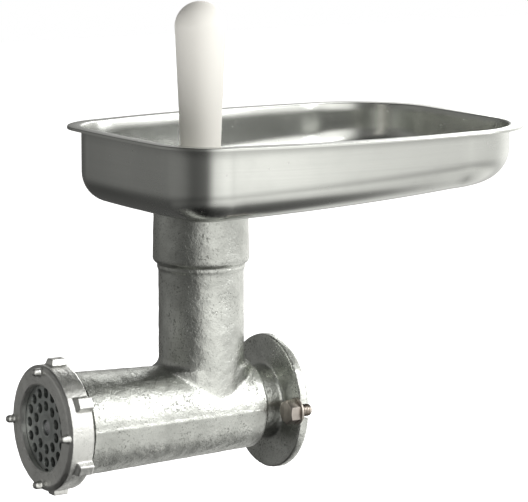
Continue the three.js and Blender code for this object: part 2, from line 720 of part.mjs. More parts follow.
/** Four-bladed knife: swept blades against the plate, and a thicker hub with a square hole. */
function knife() {
  const blade = new THREE.Shape();
  const half = BLADE_WIDTH / 2;
  blade.moveTo(-half, 0);
  blade.lineTo(half, 0);
  blade.quadraticCurveTo(half + 1, KNIFE_SPAN_R * 0.6, half - 1, KNIFE_SPAN_R * 0.96);
  blade.lineTo(half - 3, KNIFE_SPAN_R);
  blade.lineTo(-half + 1, KNIFE_SPAN_R * 0.98);
  blade.quadraticCurveTo(-half + 4.5, KNIFE_SPAN_R * 0.62, -half, KNIFE_SPAN_R * 0.3);
  const arm = solid(plateX(blade, KNIFE_FRONT_X, KNIFE_FRONT_X + BLADE_T, 5));
  const hub = solid(turnedX([
    [KNIFE_FRONT_X, 0],
    [KNIFE_FRONT_X, KNIFE_HUB_R],
    [KNIFE_FRONT_X + BLADE_T, KNIFE_HUB_R],
    [KNIFE_BACK_X, KNIFE_HUB_R - 2],
    [KNIFE_BACK_X, 0],
  ], 32));
  const arms = aroundX(BLADE_COUNT).map((angle) => arm.rotate([THREE.MathUtils.radToDeg(angle), 0, 0]));
  const side = STUD_SQUARE / 2 + SEAT_GAP;
  const square = solid(block([KNIFE_FRONT_X - 1, KNIFE_BACK_X + 1], [-side, side], [-side, side]));
  return shaped(joinAll([hub, ...arms]).subtract(square));
}
piece(drive, 'knife', knife(), TOOL_STEEL);

/** Hexagonal drive tang, pinned into the worm's shank, with a chamfered outer end. */
function driveTang() {
  const hex = solid(plateX(polygonShape(6, TANG_ACROSS), -TANG_IN, TANG_OUT));
  const corner = TANG_ACROSS / 2 / Math.cos(Math.PI / 6);
  const nose = solid(turnedX([
    [-TANG_IN - 1, 0],
    [-TANG_IN - 1, corner + 1],
    [TANG_OUT - 2, corner + 1],
    [TANG_OUT, corner - 1.2],
    [TANG_OUT, 0],
  ], 24));
  const hole = solid(crossPin(PIN_R + SEAT_GAP, SHANK_R + 2));
  return shaped(hex.intersect(nose).subtract(hole));
}
piece(drive, 'drive_tang', driveTang(), BRIGHT_STEEL);
piece(drive, 'tang_pin', weld(crossPin(PIN_R, SHANK_R - 0.5)), BRIGHT_STEEL);

// ---- tray ----
const tray = groupAt(model, 0, 0, 0);

/** The tray's plan outline at its rim: a tapered oblong with round corners and bowed sides, run anticlockwise. */
function trayOutline(stepsPerCorner = 6, stepsPerSide = 4) {
  const corners = [
    { x: TRAY_REAR_X, y: TRAY_REAR_HALF_W, radius: TRAY_REAR_CORNER_R, bowAfter: TRAY_SIDE_BOW },
    { x: TRAY_FRONT_X, y: TRAY_FRONT_HALF_W, radius: TRAY_FRONT_CORNER_R, bowAfter: 1.5 },
    { x: TRAY_FRONT_X, y: -TRAY_FRONT_HALF_W, radius: TRAY_FRONT_CORNER_R, bowAfter: TRAY_SIDE_BOW },
    { x: TRAY_REAR_X, y: -TRAY_REAR_HALF_W, radius: TRAY_REAR_CORNER_R, bowAfter: 0 },
  ];
  const rounded = corners.map((corner, i) => {
    const here = new THREE.Vector2(corner.x, corner.y);
    const before = corners[(i + 3) % 4];
    const after = corners[(i + 1) % 4];
    const back = new THREE.Vector2(before.x, before.y).sub(here).normalize();
    const on = new THREE.Vector2(after.x, after.y).sub(here).normalize();
    const halfAngle = Math.acos(back.dot(on)) / 2;
    const middle = back.clone().add(on).normalize();
    const centre = here.clone().addScaledVector(middle, corner.radius / Math.sin(halfAngle));
    const reach = corner.radius / Math.tan(halfAngle);
    const start = here.clone().addScaledVector(back, reach).sub(centre).angle();
    const sweep = Math.PI - 2 * halfAngle;
    const points = Array.from({ length: stepsPerCorner + 1 }, (_, k) => {
      const angle = start + (sweep * k) / stepsPerCorner;
      return new THREE.Vector2(Math.cos(angle), Math.sin(angle)).multiplyScalar(corner.radius).add(centre);
    });
    return { points, bow: corner.bowAfter };
  });
  const outline = [];
  rounded.forEach(({ points, bow }, i) => {
    outline.push(...points);
    const from = points.at(-1);
    const to = rounded[(i + 1) % 4].points[0];
    const outward = new THREE.Vector2(to.y - from.y, from.x - to.x).normalize();
    for (let k = 1; k < stepsPerSide; k += 1) {
      const t = k / stepsPerSide;
      outline.push(from.clone().lerp(to, t).addScaledVector(outward, bow * 4 * t * (1 - t)));
    }
  });
  return outline;
}

/** Height of the floor's underside: level on the seat round the neck, and a straight slope everywhere else. */
function floorZ(x, y) {
  const slope = FLOOR_FRONT_Z + TRAY_FLOOR_SLOPE * (x - TRAY_FRONT_X);
  const blend = THREE.MathUtils.smoothstep(Math.hypot(x - NECK_X, y) - TRAY_SEAT_R, 0, TRAY_SEAT_BLEND);
  return THREE.MathUtils.lerp(PAN_FLOOR_Z, slope, blend);
}

/**
 * The pan's section from the floor's middle, out under it, round the foot, up the wall, over the lip and back
 * inside. A stop is { inset, rise } from the rim outline and the floor. With { level } its height is fixed, and
 * with { ring } it lies on a circle round the neck.
 */
function traySection() {
  const footSteps = 4;
  const flat = TRAY_LIP + TRAY_FOOT_R;
  const rings = [NECK_BORE_R / 2, TRAY_SEAT_R, TRAY_SEAT_R + TRAY_SEAT_BLEND];
  const foot = Array.from({ length: footSteps + 1 }, (_, k) => (Math.PI / 2) * (1 - k / footSteps));
  const bend = (radius) => foot.map((angle) => ({
    inset: flat - radius * Math.cos(angle),
    rise: TRAY_FOOT_R - radius * Math.sin(angle),
  }));
  return [
    ...rings.map((ring) => ({ ring, inset: flat, rise: 0 })),
    ...bend(TRAY_FOOT_R),
    { inset: TRAY_LIP, level: TRAY_RIM_Z - TRAY_SHEET },
    { inset: TRAY_SHEET, level: TRAY_RIM_Z - TRAY_SHEET },
    { inset: TRAY_SHEET, level: TRAY_RIM_Z - TRAY_EDGE_DROP },
    { inset: 0, level: TRAY_RIM_Z - TRAY_EDGE_DROP },
    { inset: 0, level: TRAY_RIM_Z - 0.4 },
    { inset: 0.5, level: TRAY_RIM_Z },
    { inset: TRAY_LIP + TRAY_SHEET, level: TRAY_RIM_Z },
    ...bend(TRAY_FOOT_R - TRAY_SHEET).toReversed(),
    ...rings.toReversed().map((ring) => ({ ring, inset: flat, rise: TRAY_SHEET })),
  ];
}

function trayPan() {
  const outline = trayOutline();
  const count = outline.length;
  const inward = outline.map((_, i) => {
    const along = outline[(i + 1) % count].clone().sub(outline[(i + count - 1) % count]).normalize();
    return new THREE.Vector2(-along.y, along.x);
  });
  const stops = traySection();
  const eye = new THREE.Vector2(NECK_X, 0);
  const surface = (u, v, target) => {
    const i = Math.round(u * count) % count;
    const stop = stops[Math.round(v * stops.length) % stops.length];
    const spot = outline[i].clone().addScaledVector(inward[i], stop.inset);
    if (stop.ring) {
      const reach = spot.distanceTo(eye) * (0.97 + 0.02 * (stop.ring / FLANGE_R - 0.75));
      spot.sub(eye).setLength(Math.min(stop.ring, reach)).add(eye);
    }
    target.set(spot.x, spot.y, stop.level ?? floorZ(spot.x, spot.y) + stop.rise);
  };
  const sheet = solid(facingOut(new ParametricGeometry(surface, count, stops.length)));
  const hole = turnedZ([[0, 0], [SPIGOT_R + SEAT_GAP, 0], [SPIGOT_R + SEAT_GAP, 60], [0, 60]])
    .translate(NECK_X, 0, PAN_FLOOR_Z - 30);
  return shaped(sheet.subtract(solid(hole)));
}
piece(tray, 'tray_pan', trayPan(), STAINLESS);

/** The spigot under the tray, a rolled tube whose flange lies on the pan's floor. */
function traySpigot() {
  const bore = SPIGOT_R - SPIGOT_WALL;
  const low = NECK_TOP_Z - SPIGOT_REACH;
  const top = SPIGOT_FLANGE_Z + TRAY_SHEET;
  return weld(turnedZ([
    [bore, low],
    [SPIGOT_R, low],
    [SPIGOT_R, SPIGOT_FLANGE_Z],
    [SPIGOT_FLANGE_R, SPIGOT_FLANGE_Z],
    [SPIGOT_FLANGE_R, top],
    [bore + 1, top],
    [bore, top - 1],
    [bore, low],
  ]).translate(NECK_X, 0, 0));
}
piece(tray, 'tray_spigot', traySpigot(), STAINLESS);

// ---- pusher ----
const pusher = groupAt(model, NECK_X, 0, 0);

/** The hollow pusher: a shaft that fills the neck, a guard that stops it on the tray, and a tapered round grip. */
function pusherBody() {
  const foot = PUSHER_FOOT_Z + CAP_T + SEAT_GAP;
  const domeZ = PUSHER_TOP_Z - GRIP_HEAD_R;
  const wall = PUSHER_WALL;
  const dome = arc(0, domeZ, GRIP_HEAD_R, 8, 90, 6).slice(0, -1);
  const cavityTop = domeZ - 6;
  return weld(turnedZ([
    [PUSHER_SHAFT_R - wall, foot],
    [PUSHER_SHAFT_R, foot],
    [PUSHER_SHAFT_R, GUARD_Z],
    [PUSHER_GUARD_R - 1, GUARD_Z],
    [PUSHER_GUARD_R, GUARD_Z + 1],
    [PUSHER_GUARD_R, GRIP_FOOT_Z - 2],
    [PUSHER_GUARD_R - 2, GRIP_FOOT_Z],
    [GRIP_FOOT_R + 4, GRIP_FOOT_Z],
    [GRIP_FOOT_R + 1, GRIP_FOOT_Z + 1.2],
    [GRIP_FOOT_R, GRIP_FOOT_Z + 4],
    ...dome,
    [0, PUSHER_TOP_Z],
    [0, cavityTop],
    [GRIP_FOOT_R - wall, cavityTop - 5],
    [GRIP_FOOT_R - wall, GUARD_Z],
    [PUSHER_SHAFT_R - wall, GUARD_Z - 8],
    [PUSHER_SHAFT_R - wall, foot],
  ], 30));
}
piece(pusher, 'pusher_body', pusherBody(), WHITE_PLASTIC);

/** Snap-in end cap of the pusher: a disc with a plug that fills the shaft's bore. */
function pusherCap() {
  const plug = PUSHER_SHAFT_R - PUSHER_WALL - TURN_GAP;
  const disc = PUSHER_FOOT_Z + CAP_T;
  return weld(turnedZ([
    [0, PUSHER_FOOT_Z],
    [PUSHER_SHAFT_R - 1, PUSHER_FOOT_Z],
    [PUSHER_SHAFT_R, PUSHER_FOOT_Z + 1],
    [PUSHER_SHAFT_R, disc],
    [plug, disc],
    [plug, disc + CAP_PLUG],
    [0, disc + CAP_PLUG],
  ], 30));
}
piece(pusher, 'pusher_cap', pusherCap(), WHITE_PLASTIC);

// ---- clamp screws, one on each side of the flange ----

/** Hexagon-headed screw along +X, with the underside of its head at x = 0. */
function clampScrew(shankLength) {
  const hex = solid(plateX(polygonShape(6, HEX_ACROSS), -HEX_T, 0));
  const corner = HEX_ACROSS / 2 / Math.cos(Math.PI / 6);
  const dome = solid(turnedX([
    [-HEX_T - 1, 0],
    [-HEX_T, corner - 1.8],
    [-HEX_T + 1.4, corner + 0.2],
    [1, corner + 0.2],
    [1, 0],
  ], 24));
  const shank = solid(turnedX([
    [-1, 0],
    [-1, SCREW_R],
    [shankLength - 1, SCREW_R],
    [shankLength, SCREW_R - 1],
    [shankLength, 0],
  ], SMALL));
  return shaped(hex.intersect(dome).add(shank));
}

for (const { side, turn } of [{ side: 'left', turn: 0 }, { side: 'right', turn: Math.PI }]) {
  const seat = new THREE.Group();
  seat.rotation.x = turn;
  model.add(seat);
  const washerX = -FLANGE_T - SEAT_GAP - CLAMP_WASHER_T;
  const headX = washerX - SEAT_GAP;
  const washer = weld(tubeX(0, CLAMP_WASHER_T, SCREW_R + TURN_GAP, CLAMP_WASHER_R, 24));
  piece(seat, `clamp_washer_${side}`, washer, ZINC_STEEL).position.set(washerX, SCREW_CIRCLE_R, 0);
  piece(seat, `clamp_screw_${side}`, clampScrew(SCREW_OUT - headX), ZINC_STEEL)
    .position.set(headX, SCREW_CIRCLE_R, 0);
}

export default model;
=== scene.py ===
"""Looks of a No. 12 mincing head: cast barrel and neck, ring nut, plate, tray, pusher and clamp screws."""
import logging
import math
from abc import ABC, abstractmethod
from collections.abc import Callable, Sequence
from dataclasses import dataclass, field
from enum import Enum
from typing import ClassVar

import bpy
import numpy as np
from mathutils import Matrix, Vector, noise


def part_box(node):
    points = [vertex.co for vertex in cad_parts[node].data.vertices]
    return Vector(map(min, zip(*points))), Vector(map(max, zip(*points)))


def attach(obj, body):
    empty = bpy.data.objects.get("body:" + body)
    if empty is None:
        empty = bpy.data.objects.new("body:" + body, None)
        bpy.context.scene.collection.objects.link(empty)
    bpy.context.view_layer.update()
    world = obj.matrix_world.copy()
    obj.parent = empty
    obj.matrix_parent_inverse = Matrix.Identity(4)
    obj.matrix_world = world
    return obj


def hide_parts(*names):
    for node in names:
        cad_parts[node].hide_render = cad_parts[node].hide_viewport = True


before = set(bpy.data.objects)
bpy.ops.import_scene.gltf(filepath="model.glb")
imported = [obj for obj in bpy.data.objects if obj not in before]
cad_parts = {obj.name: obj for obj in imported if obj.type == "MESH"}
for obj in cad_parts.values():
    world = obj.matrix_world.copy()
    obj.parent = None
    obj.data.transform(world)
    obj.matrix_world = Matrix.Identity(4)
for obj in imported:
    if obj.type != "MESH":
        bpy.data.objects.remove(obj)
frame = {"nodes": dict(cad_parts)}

LOG = logging.getLogger("mincing_head")
MM = 0.001
ON_AXIS = 1e-9
Point = tuple[float, float]
Colour = tuple[float, float, float, float]


class Axis(Enum):
    """Row axis that a shape is turned about."""

    X = "x"
    Z = "z"


class Combine(Enum):
    """What becomes of two overlapping objects."""

    CUT = "DIFFERENCE"
    ADD = "UNION"
    KEEP_SHARED = "INTERSECT"


# ---------------------------------------------------------------- mesh building


@dataclass
class Shape:
    """A mesh in the making, in millimetres.

    Attributes:
        verts: corner positions.
        faces: corner numbers of each face, seen anticlockwise from outside.
    """

    verts: list[Vector] = field(default_factory=list)
    faces: list[tuple[int, ...]] = field(default_factory=list)

    def joined(self, *others: "Shape") -> "Shape":
        """Collects this shape and others, each still closed on its own.

        Args:
            *others: shapes to add.

        Returns:
            One shape that holds them all.
        """
        out = Shape(list(self.verts), list(self.faces))
        for other in others:
            base = len(out.verts)
            out.verts.extend(v.copy() for v in other.verts)
            out.faces.extend(tuple(i + base for i in f) for f in other.faces)
        return out

    def moved(self, x: float = 0.0, y: float = 0.0, z: float = 0.0) -> "Shape":
        """Shifts a copy of the shape.

        Args:
            x: shift along X in millimetres.
            y: shift along Y in millimetres.
            z: shift along Z in millimetres.

        Returns:
            The shifted copy.
        """
        shift = Vector((x, y, z))
        return Shape([v + shift for v in self.verts], list(self.faces))

    def turned(self, degrees: float, axis: str = "X") -> "Shape":
        """Rotates a copy of the shape about a row axis through the origin.

        Args:
            degrees: angle by the right-hand rule.
            axis: name of the row axis.

        Returns:
            The rotated copy.
        """
        spin = Matrix.Rotation(math.radians(degrees), 3, axis)
        return Shape([spin @ v for v in self.verts], list(self.faces))

    def volume(self) -> float:
        """Returns the signed volume in cubic millimetres."""
        total = 0.0
        for f in self.faces:
            a = self.verts[f[0]]
            for k in range(1, len(f) - 1):
                total += a.dot(self.verts[f[k]].cross(self.verts[f[k + 1]])) / 6
        return total

    def facing_out(self) -> "Shape":
        """Returns the shape with its faces pointing outwards."""
        if self.volume() >= 0:
            return self
        return Shape(self.verts, [tuple(reversed(f)) for f in self.faces])

    def to_object(self, name: str, smooth: bool = True) -> bpy.types.Object:
        """Makes a Blender object, in metres.

        Args:
            name: object name.
            smooth: whether faces are shaded smooth.

        Returns:
            The new object, linked to the scene.
        """
        mesh = bpy.data.meshes.new(name)
        mesh.from_pydata([v * MM for v in self.verts], [], self.faces)
        mesh.validate()
        mesh.polygons.foreach_set("use_smooth", [smooth] * len(mesh.polygons))
        obj = bpy.data.objects.new(name, mesh)
        bpy.context.scene.collection.objects.link(obj)
        return obj


def rounded(points: Sequence[Point], cut: float, steps: int = 4) -> list[Point]:
    """Rounds the inner corners of an open outline.

    Args:
        points: outline corners.
        cut: how far from each corner the rounding starts, in millimetres.
        steps: points along each rounding.

    Returns:
        The rounded outline.
    """
    out: list[Point] = [points[0]]
    for before, here, after in zip(points, points[1:], points[2:]):
        b, h, a = Vector(before), Vector(here), Vector(after)
        reach_b = min(cut, (b - h).length * 0.45)
        reach_a = min(cut, (a - h).length * 0.45)
        start = h + (b - h).normalized() * reach_b
        end = h + (a - h).normalized() * reach_a
        for k in range(steps + 1):
            t = k / steps
            p = start * (1 - t) ** 2 + h * 2 * t * (1 - t) + end * t * t
            out.append((p.x, p.y))
    out.append(points[-1])
    return out


def revolve(points: Sequence[Point], axis: Axis, segments: int = 160, closed: bool = False) -> Shape:
    """Turns an outline about a row axis.

    Args:
        points: outline as (along, radius) pairs; an open outline starts and ends at radius 0.
        axis: the axis to turn about.
        segments: steps round the turn.
        closed: whether the outline's end joins its start.

    Returns:
        The closed shape, facing outwards.
    """
    shape = Shape()
    rings: list[list[int]] = []
    for along, radius in points:
        ring: list[int] = []
        for k in range(segments if radius > ON_AXIS else 1):
            angle = 2 * math.pi * k / segments
            c, s = radius * math.cos(angle), radius * math.sin(angle)
            shape.verts.append(Vector((along, c, s)) if axis is Axis.X else Vector((c, s, along)))
            ring.append(len(shape.verts) - 1)
        rings.append(ring)
    pairs = list(zip(rings, rings[1:]))
    if closed:
        pairs.append((rings[-1], rings[0]))
    for low, high in pairs:
        for k in range(segments):
            n = (k + 1) % segments
            if len(low) == 1 and len(high) == 1:
                continue
            if len(low) == 1:
                shape.faces.append((low[0], high[k], high[n]))
            elif len(high) == 1:
                shape.faces.append((low[k], high[0], low[n]))
            else:
                shape.faces.append((low[k], high[k], high[n], low[n]))
    return shape.facing_out()


def prism(outline: Sequence[Point], x0: float, x1: float) -> Shape:
    """Makes a slab along X.

    Args:
        outline: (y, z) corners of a convex outline, in millimetres.
        x0: where the slab starts.
        x1: where it ends.

    Returns:
        The closed shape, facing outwards.
    """
    count = len(outline)
    verts = [Vector((x, y, z)) for x in (x0, x1) for y, z in outline]
    faces: list[tuple[int, ...]] = [tuple(range(count)), tuple(reversed(range(count, 2 * count)))]
    for k in range(count):
        n = (k + 1) % count
        faces.append((k, k + count, n + count, n))
    return Shape(verts, faces).facing_out()


def loft(rings: Sequence[Sequence[Vector]]) -> Shape:
    """Skins closed rings into a closed loop of rings, such as a folded sheet.

    Args:
        rings: rings of equal length, in order; the last one joins the first.

    Returns:
        The closed shape, facing outwards.
    """
    count = len(rings[0])
    verts = [v.copy() for ring in rings for v in ring]
    faces: list[tuple[int, ...]] = []
    for i in range(len(rings)):
        a, b = i * count, ((i + 1) % len(rings)) * count
        for k in range(count):
            n = (k + 1) % count
            faces.append((a + k, a + n, b + n, b + k))
    return Shape(verts, faces).facing_out()


class Workshop:
    """Modifier steps that are applied to an object's mesh at once."""

    @staticmethod
    def apply(obj: bpy.types.Object) -> None:
        """Applies every modifier of the object.

        Args:
            obj: object to work on.
        """
        bpy.context.view_layer.update()
        graph = bpy.context.evaluated_depsgraph_get()
        mesh = bpy.data.meshes.new_from_object(obj.evaluated_get(graph))
        old = obj.data
        obj.modifiers.clear()
        obj.data = mesh
        bpy.data.meshes.remove(old)

    @classmethod
    def cast(cls, obj: bpy.types.Object, voxel: float, passes: int) -> None:
        """Fuses overlapping shells into one skin and softens it as a casting is.

        Args:
            obj: object whose shells overlap.
            voxel: cell size in millimetres.
            passes: smoothing passes.
        """
        remesh = obj.modifiers.new("fuse", "REMESH")
        remesh.mode = "VOXEL"
        remesh.voxel_size = voxel * MM
        remesh.adaptivity = 0.0
        remesh.use_smooth_shade = True
        soften = obj.modifiers.new("soften", "SMOOTH")
        soften.factor = 0.5
        soften.iterations = passes
        cls.apply(obj)

    @classmethod
    def combine(cls, obj: bpy.types.Object, other: bpy.types.Object, how: Combine = Combine.CUT) -> None:
        """Combines the object with another, which is then removed.

        Args:
            obj: object to work on.
            other: the cutting tool, or the part to add.
            how: what becomes of the two.
        """
        step = obj.modifiers.new("combine", "BOOLEAN")
        step.operation = how.value
        step.solver = "EXACT"
        step.object = other
        cls.apply(obj)
        bpy.data.objects.remove(other)

    @classmethod
    def bevel(cls, obj: bpy.types.Object, width: float, segments: int = 2, angle: float = 32.0) -> None:
        """Rounds the sharp edges.

        Args:
            obj: object to work on.
            width: rounding width in millimetres.
            segments: steps across the rounding.
            angle: edges sharper than this many degrees are rounded.
        """
        step = obj.modifiers.new("edge", "BEVEL")
        step.width = width * MM
        step.segments = segments
        step.limit_method = "ANGLE"
        step.angle_limit = math.radians(angle)
        step.harden_normals = False
        cls.apply(obj)

    @staticmethod
    def shade(obj: bpy.types.Object, angle: float = 35.0) -> None:
        """Shades the object smooth, with its sharp edges kept crisp.

        Args:
            obj: object to work on.
            angle: edges sharper than this many degrees stay crisp.
        """
        mesh = obj.data
        mesh.polygons.foreach_set("use_smooth", [True] * len(mesh.polygons))
        limit = math.radians(angle)
        faces_of: dict[tuple[int, int], list[int]] = {}
        for poly in mesh.polygons:
            for key in poly.edge_keys:
                faces_of.setdefault(key, []).append(poly.index)
        for edge in mesh.edges:
            pair = faces_of.get(edge.key, [])
            if len(pair) == 2:
                a, b = (mesh.polygons[i].normal for i in pair)
                edge.use_edge_sharp = a.angle(b, 0.0) > limit
        mesh.update()

    @staticmethod
    def ripple(obj: bpy.types.Object, depth: float, size: float, where: Callable[[Vector], float]) -> None:
        """Makes a cast skin slightly uneven.

        Args:
            obj: object to work on.
            depth: height of the unevenness in millimetres.
            size: width of a wave in millimetres.
            where: gives 0 to 1 for a point in millimetres, 0 where the skin is machined.
        """
        mesh = obj.data
        count = len(mesh.vertices)
        places = np.empty(count * 3, np.float32)
        normals = np.empty(count * 3, np.float32)
        mesh.vertices.foreach_get("co", places)
        mesh.vertex_normals.foreach_get("vector", normals)
        places = places.reshape(-1, 3)
        normals = normals.reshape(-1, 3)
        lifts = np.zeros(count, np.float32)
        for k, place in enumerate(places / MM):
            spot = Vector(place)
            amount = where(spot)
            if amount > 0:
                wave = noise.noise(spot / size) + 0.5 * noise.noise(spot / (size * 0.37))
                lifts[k] = depth * MM * amount * wave
        places += normals * lifts[:, None]
        mesh.vertices.foreach_set("co", places.ravel())
        obj.data.update()


# ---------------------------------------------------------------- shader groups


class Wiring:
    """Short-hand for adding and linking nodes in one tree."""

    def __init__(self, tree: bpy.types.NodeTree) -> None:
        """Keeps the tree.

        Args:
            tree: the tree that nodes are added to.
        """
        self.tree = tree

    def add(self, kind: str, **values: object) -> bpy.types.Node:
        """Adds a node.

        Args:
            kind: node type name.
            **values: attributes to set on the node.

        Returns:
            The node.
        """
        node = self.tree.nodes.new(kind)
        for key, value in values.items():
            setattr(node, key, value)
        return node

    def feed(self, target: bpy.types.NodeSocket, source: object) -> None:
        """Links a socket to the target, or sets the target's own value.

        Args:
            target: input socket.
            source: output socket or plain value.
        """
        if isinstance(source, bpy.types.NodeSocket):
            self.tree.links.new(source, target)
        else:
            target.default_value = source

    def math(self, operation: str, a: object, b: object = 0.0, clamp: bool = False) -> bpy.types.NodeSocket:
        """Adds a Math node.

        Args:
            operation: what the node does.
            a: first socket or value.
            b: second socket or value.
            clamp: whether the result is kept within 0 to 1.

        Returns:
            The node's output.
        """
        node = self.add("ShaderNodeMath", operation=operation, use_clamp=clamp)
        self.feed(node.inputs[0], a)
        self.feed(node.inputs[1], b)
        return node.outputs[0]

    def ramp(self, value: object, low: float, high: float, out_low: float = 0.0,
             out_high: float = 1.0) -> bpy.types.NodeSocket:
        """Adds a smooth Map Range node.

        Args:
            value: socket to map.
            low: value that gives out_low.
            high: value that gives out_high.
            out_low: result at low.
            out_high: result at high.

        Returns:
            The node's output.
        """
        node = self.add("ShaderNodeMapRange", interpolation_type="SMOOTHSTEP")
        for socket, source in zip(node.inputs, (value, low, high, out_low, out_high)):
            self.feed(socket, source)
        return node.outputs[0]

    def stops(self, value: object, stops: Sequence[Point]) -> bpy.types.NodeSocket:
        """Adds a smooth ramp through grey stops.

        Args:
            value: socket that picks the place on the ramp.
            stops: (place, level) pairs, each from 0 to 1.

        Returns:
            The ramp's output.
        """
        node = self.add("ShaderNodeValToRGB")
        node.color_ramp.interpolation = "EASE"
        elements = node.color_ramp.elements
        while len(elements) < len(stops):
            elements.new(0.5)
        for element, (place, level) in zip(elements, stops):
            element.position = place
            element.color = (level, level, level, 1.0)
        self.feed(node.inputs[0], value)
        return node.outputs[0]

    def noise(self, vector: object, scale: object, detail: float = 2.0,
              roughness: float = 0.5) -> bpy.types.NodeSocket:
        """Adds a Noise Texture.

        Args:
            vector: where it is read.
            scale: waves per metre.
            detail: octaves of finer noise.
            roughness: how strong the finer octaves are.

        Returns:
            The value from 0 to 1.
        """
        node = self.add("ShaderNodeTexNoise", noise_dimensions="3D")
        self.feed(node.inputs["Vector"], vector)
        self.feed(node.inputs["Scale"], scale)
        node.inputs["Detail"].default_value = detail
        node.inputs["Roughness"].default_value = roughness
        return node.outputs["Fac"]

    def mix(self, factor: object, a: object, b: object) -> bpy.types.NodeSocket:
        """Adds a colour Mix node.

        Args:
            factor: share of the second colour.
            a: first colour.
            b: second colour.

        Returns:
            The mixed colour.
        """
        node = self.add("ShaderNodeMix", data_type="RGBA")
        self.feed(node.inputs["Factor"], factor)
        self.feed(node.inputs[6], a)
        self.feed(node.inputs[7], b)
        return node.outputs[2]

    def group(self, effect: "Effect", **values: object) -> bpy.types.Node:
        """Places a shared effect.

        Args:
            effect: which group.
            **values: inputs by name, with underscores for spaces.

        Returns:
            The group node.
        """
        node = self.add("ShaderNodeGroup", node_tree=EffectShelf.get(effect))
        for key, value in values.items():
            self.feed(node.inputs[key.replace("_", " ").title()], value)
        return node


class Effect(Enum):
    """Shared surface effects."""

    CAST_GRAIN = "cast_grain"
    BRUSH_LINES = "brush_lines"
    HANDLING = "handling_marks"
    EDGE_WEAR = "edge_wear"
    LATHE_RINGS = "lathe_rings"
    GREASE_LINE = "grease_line"


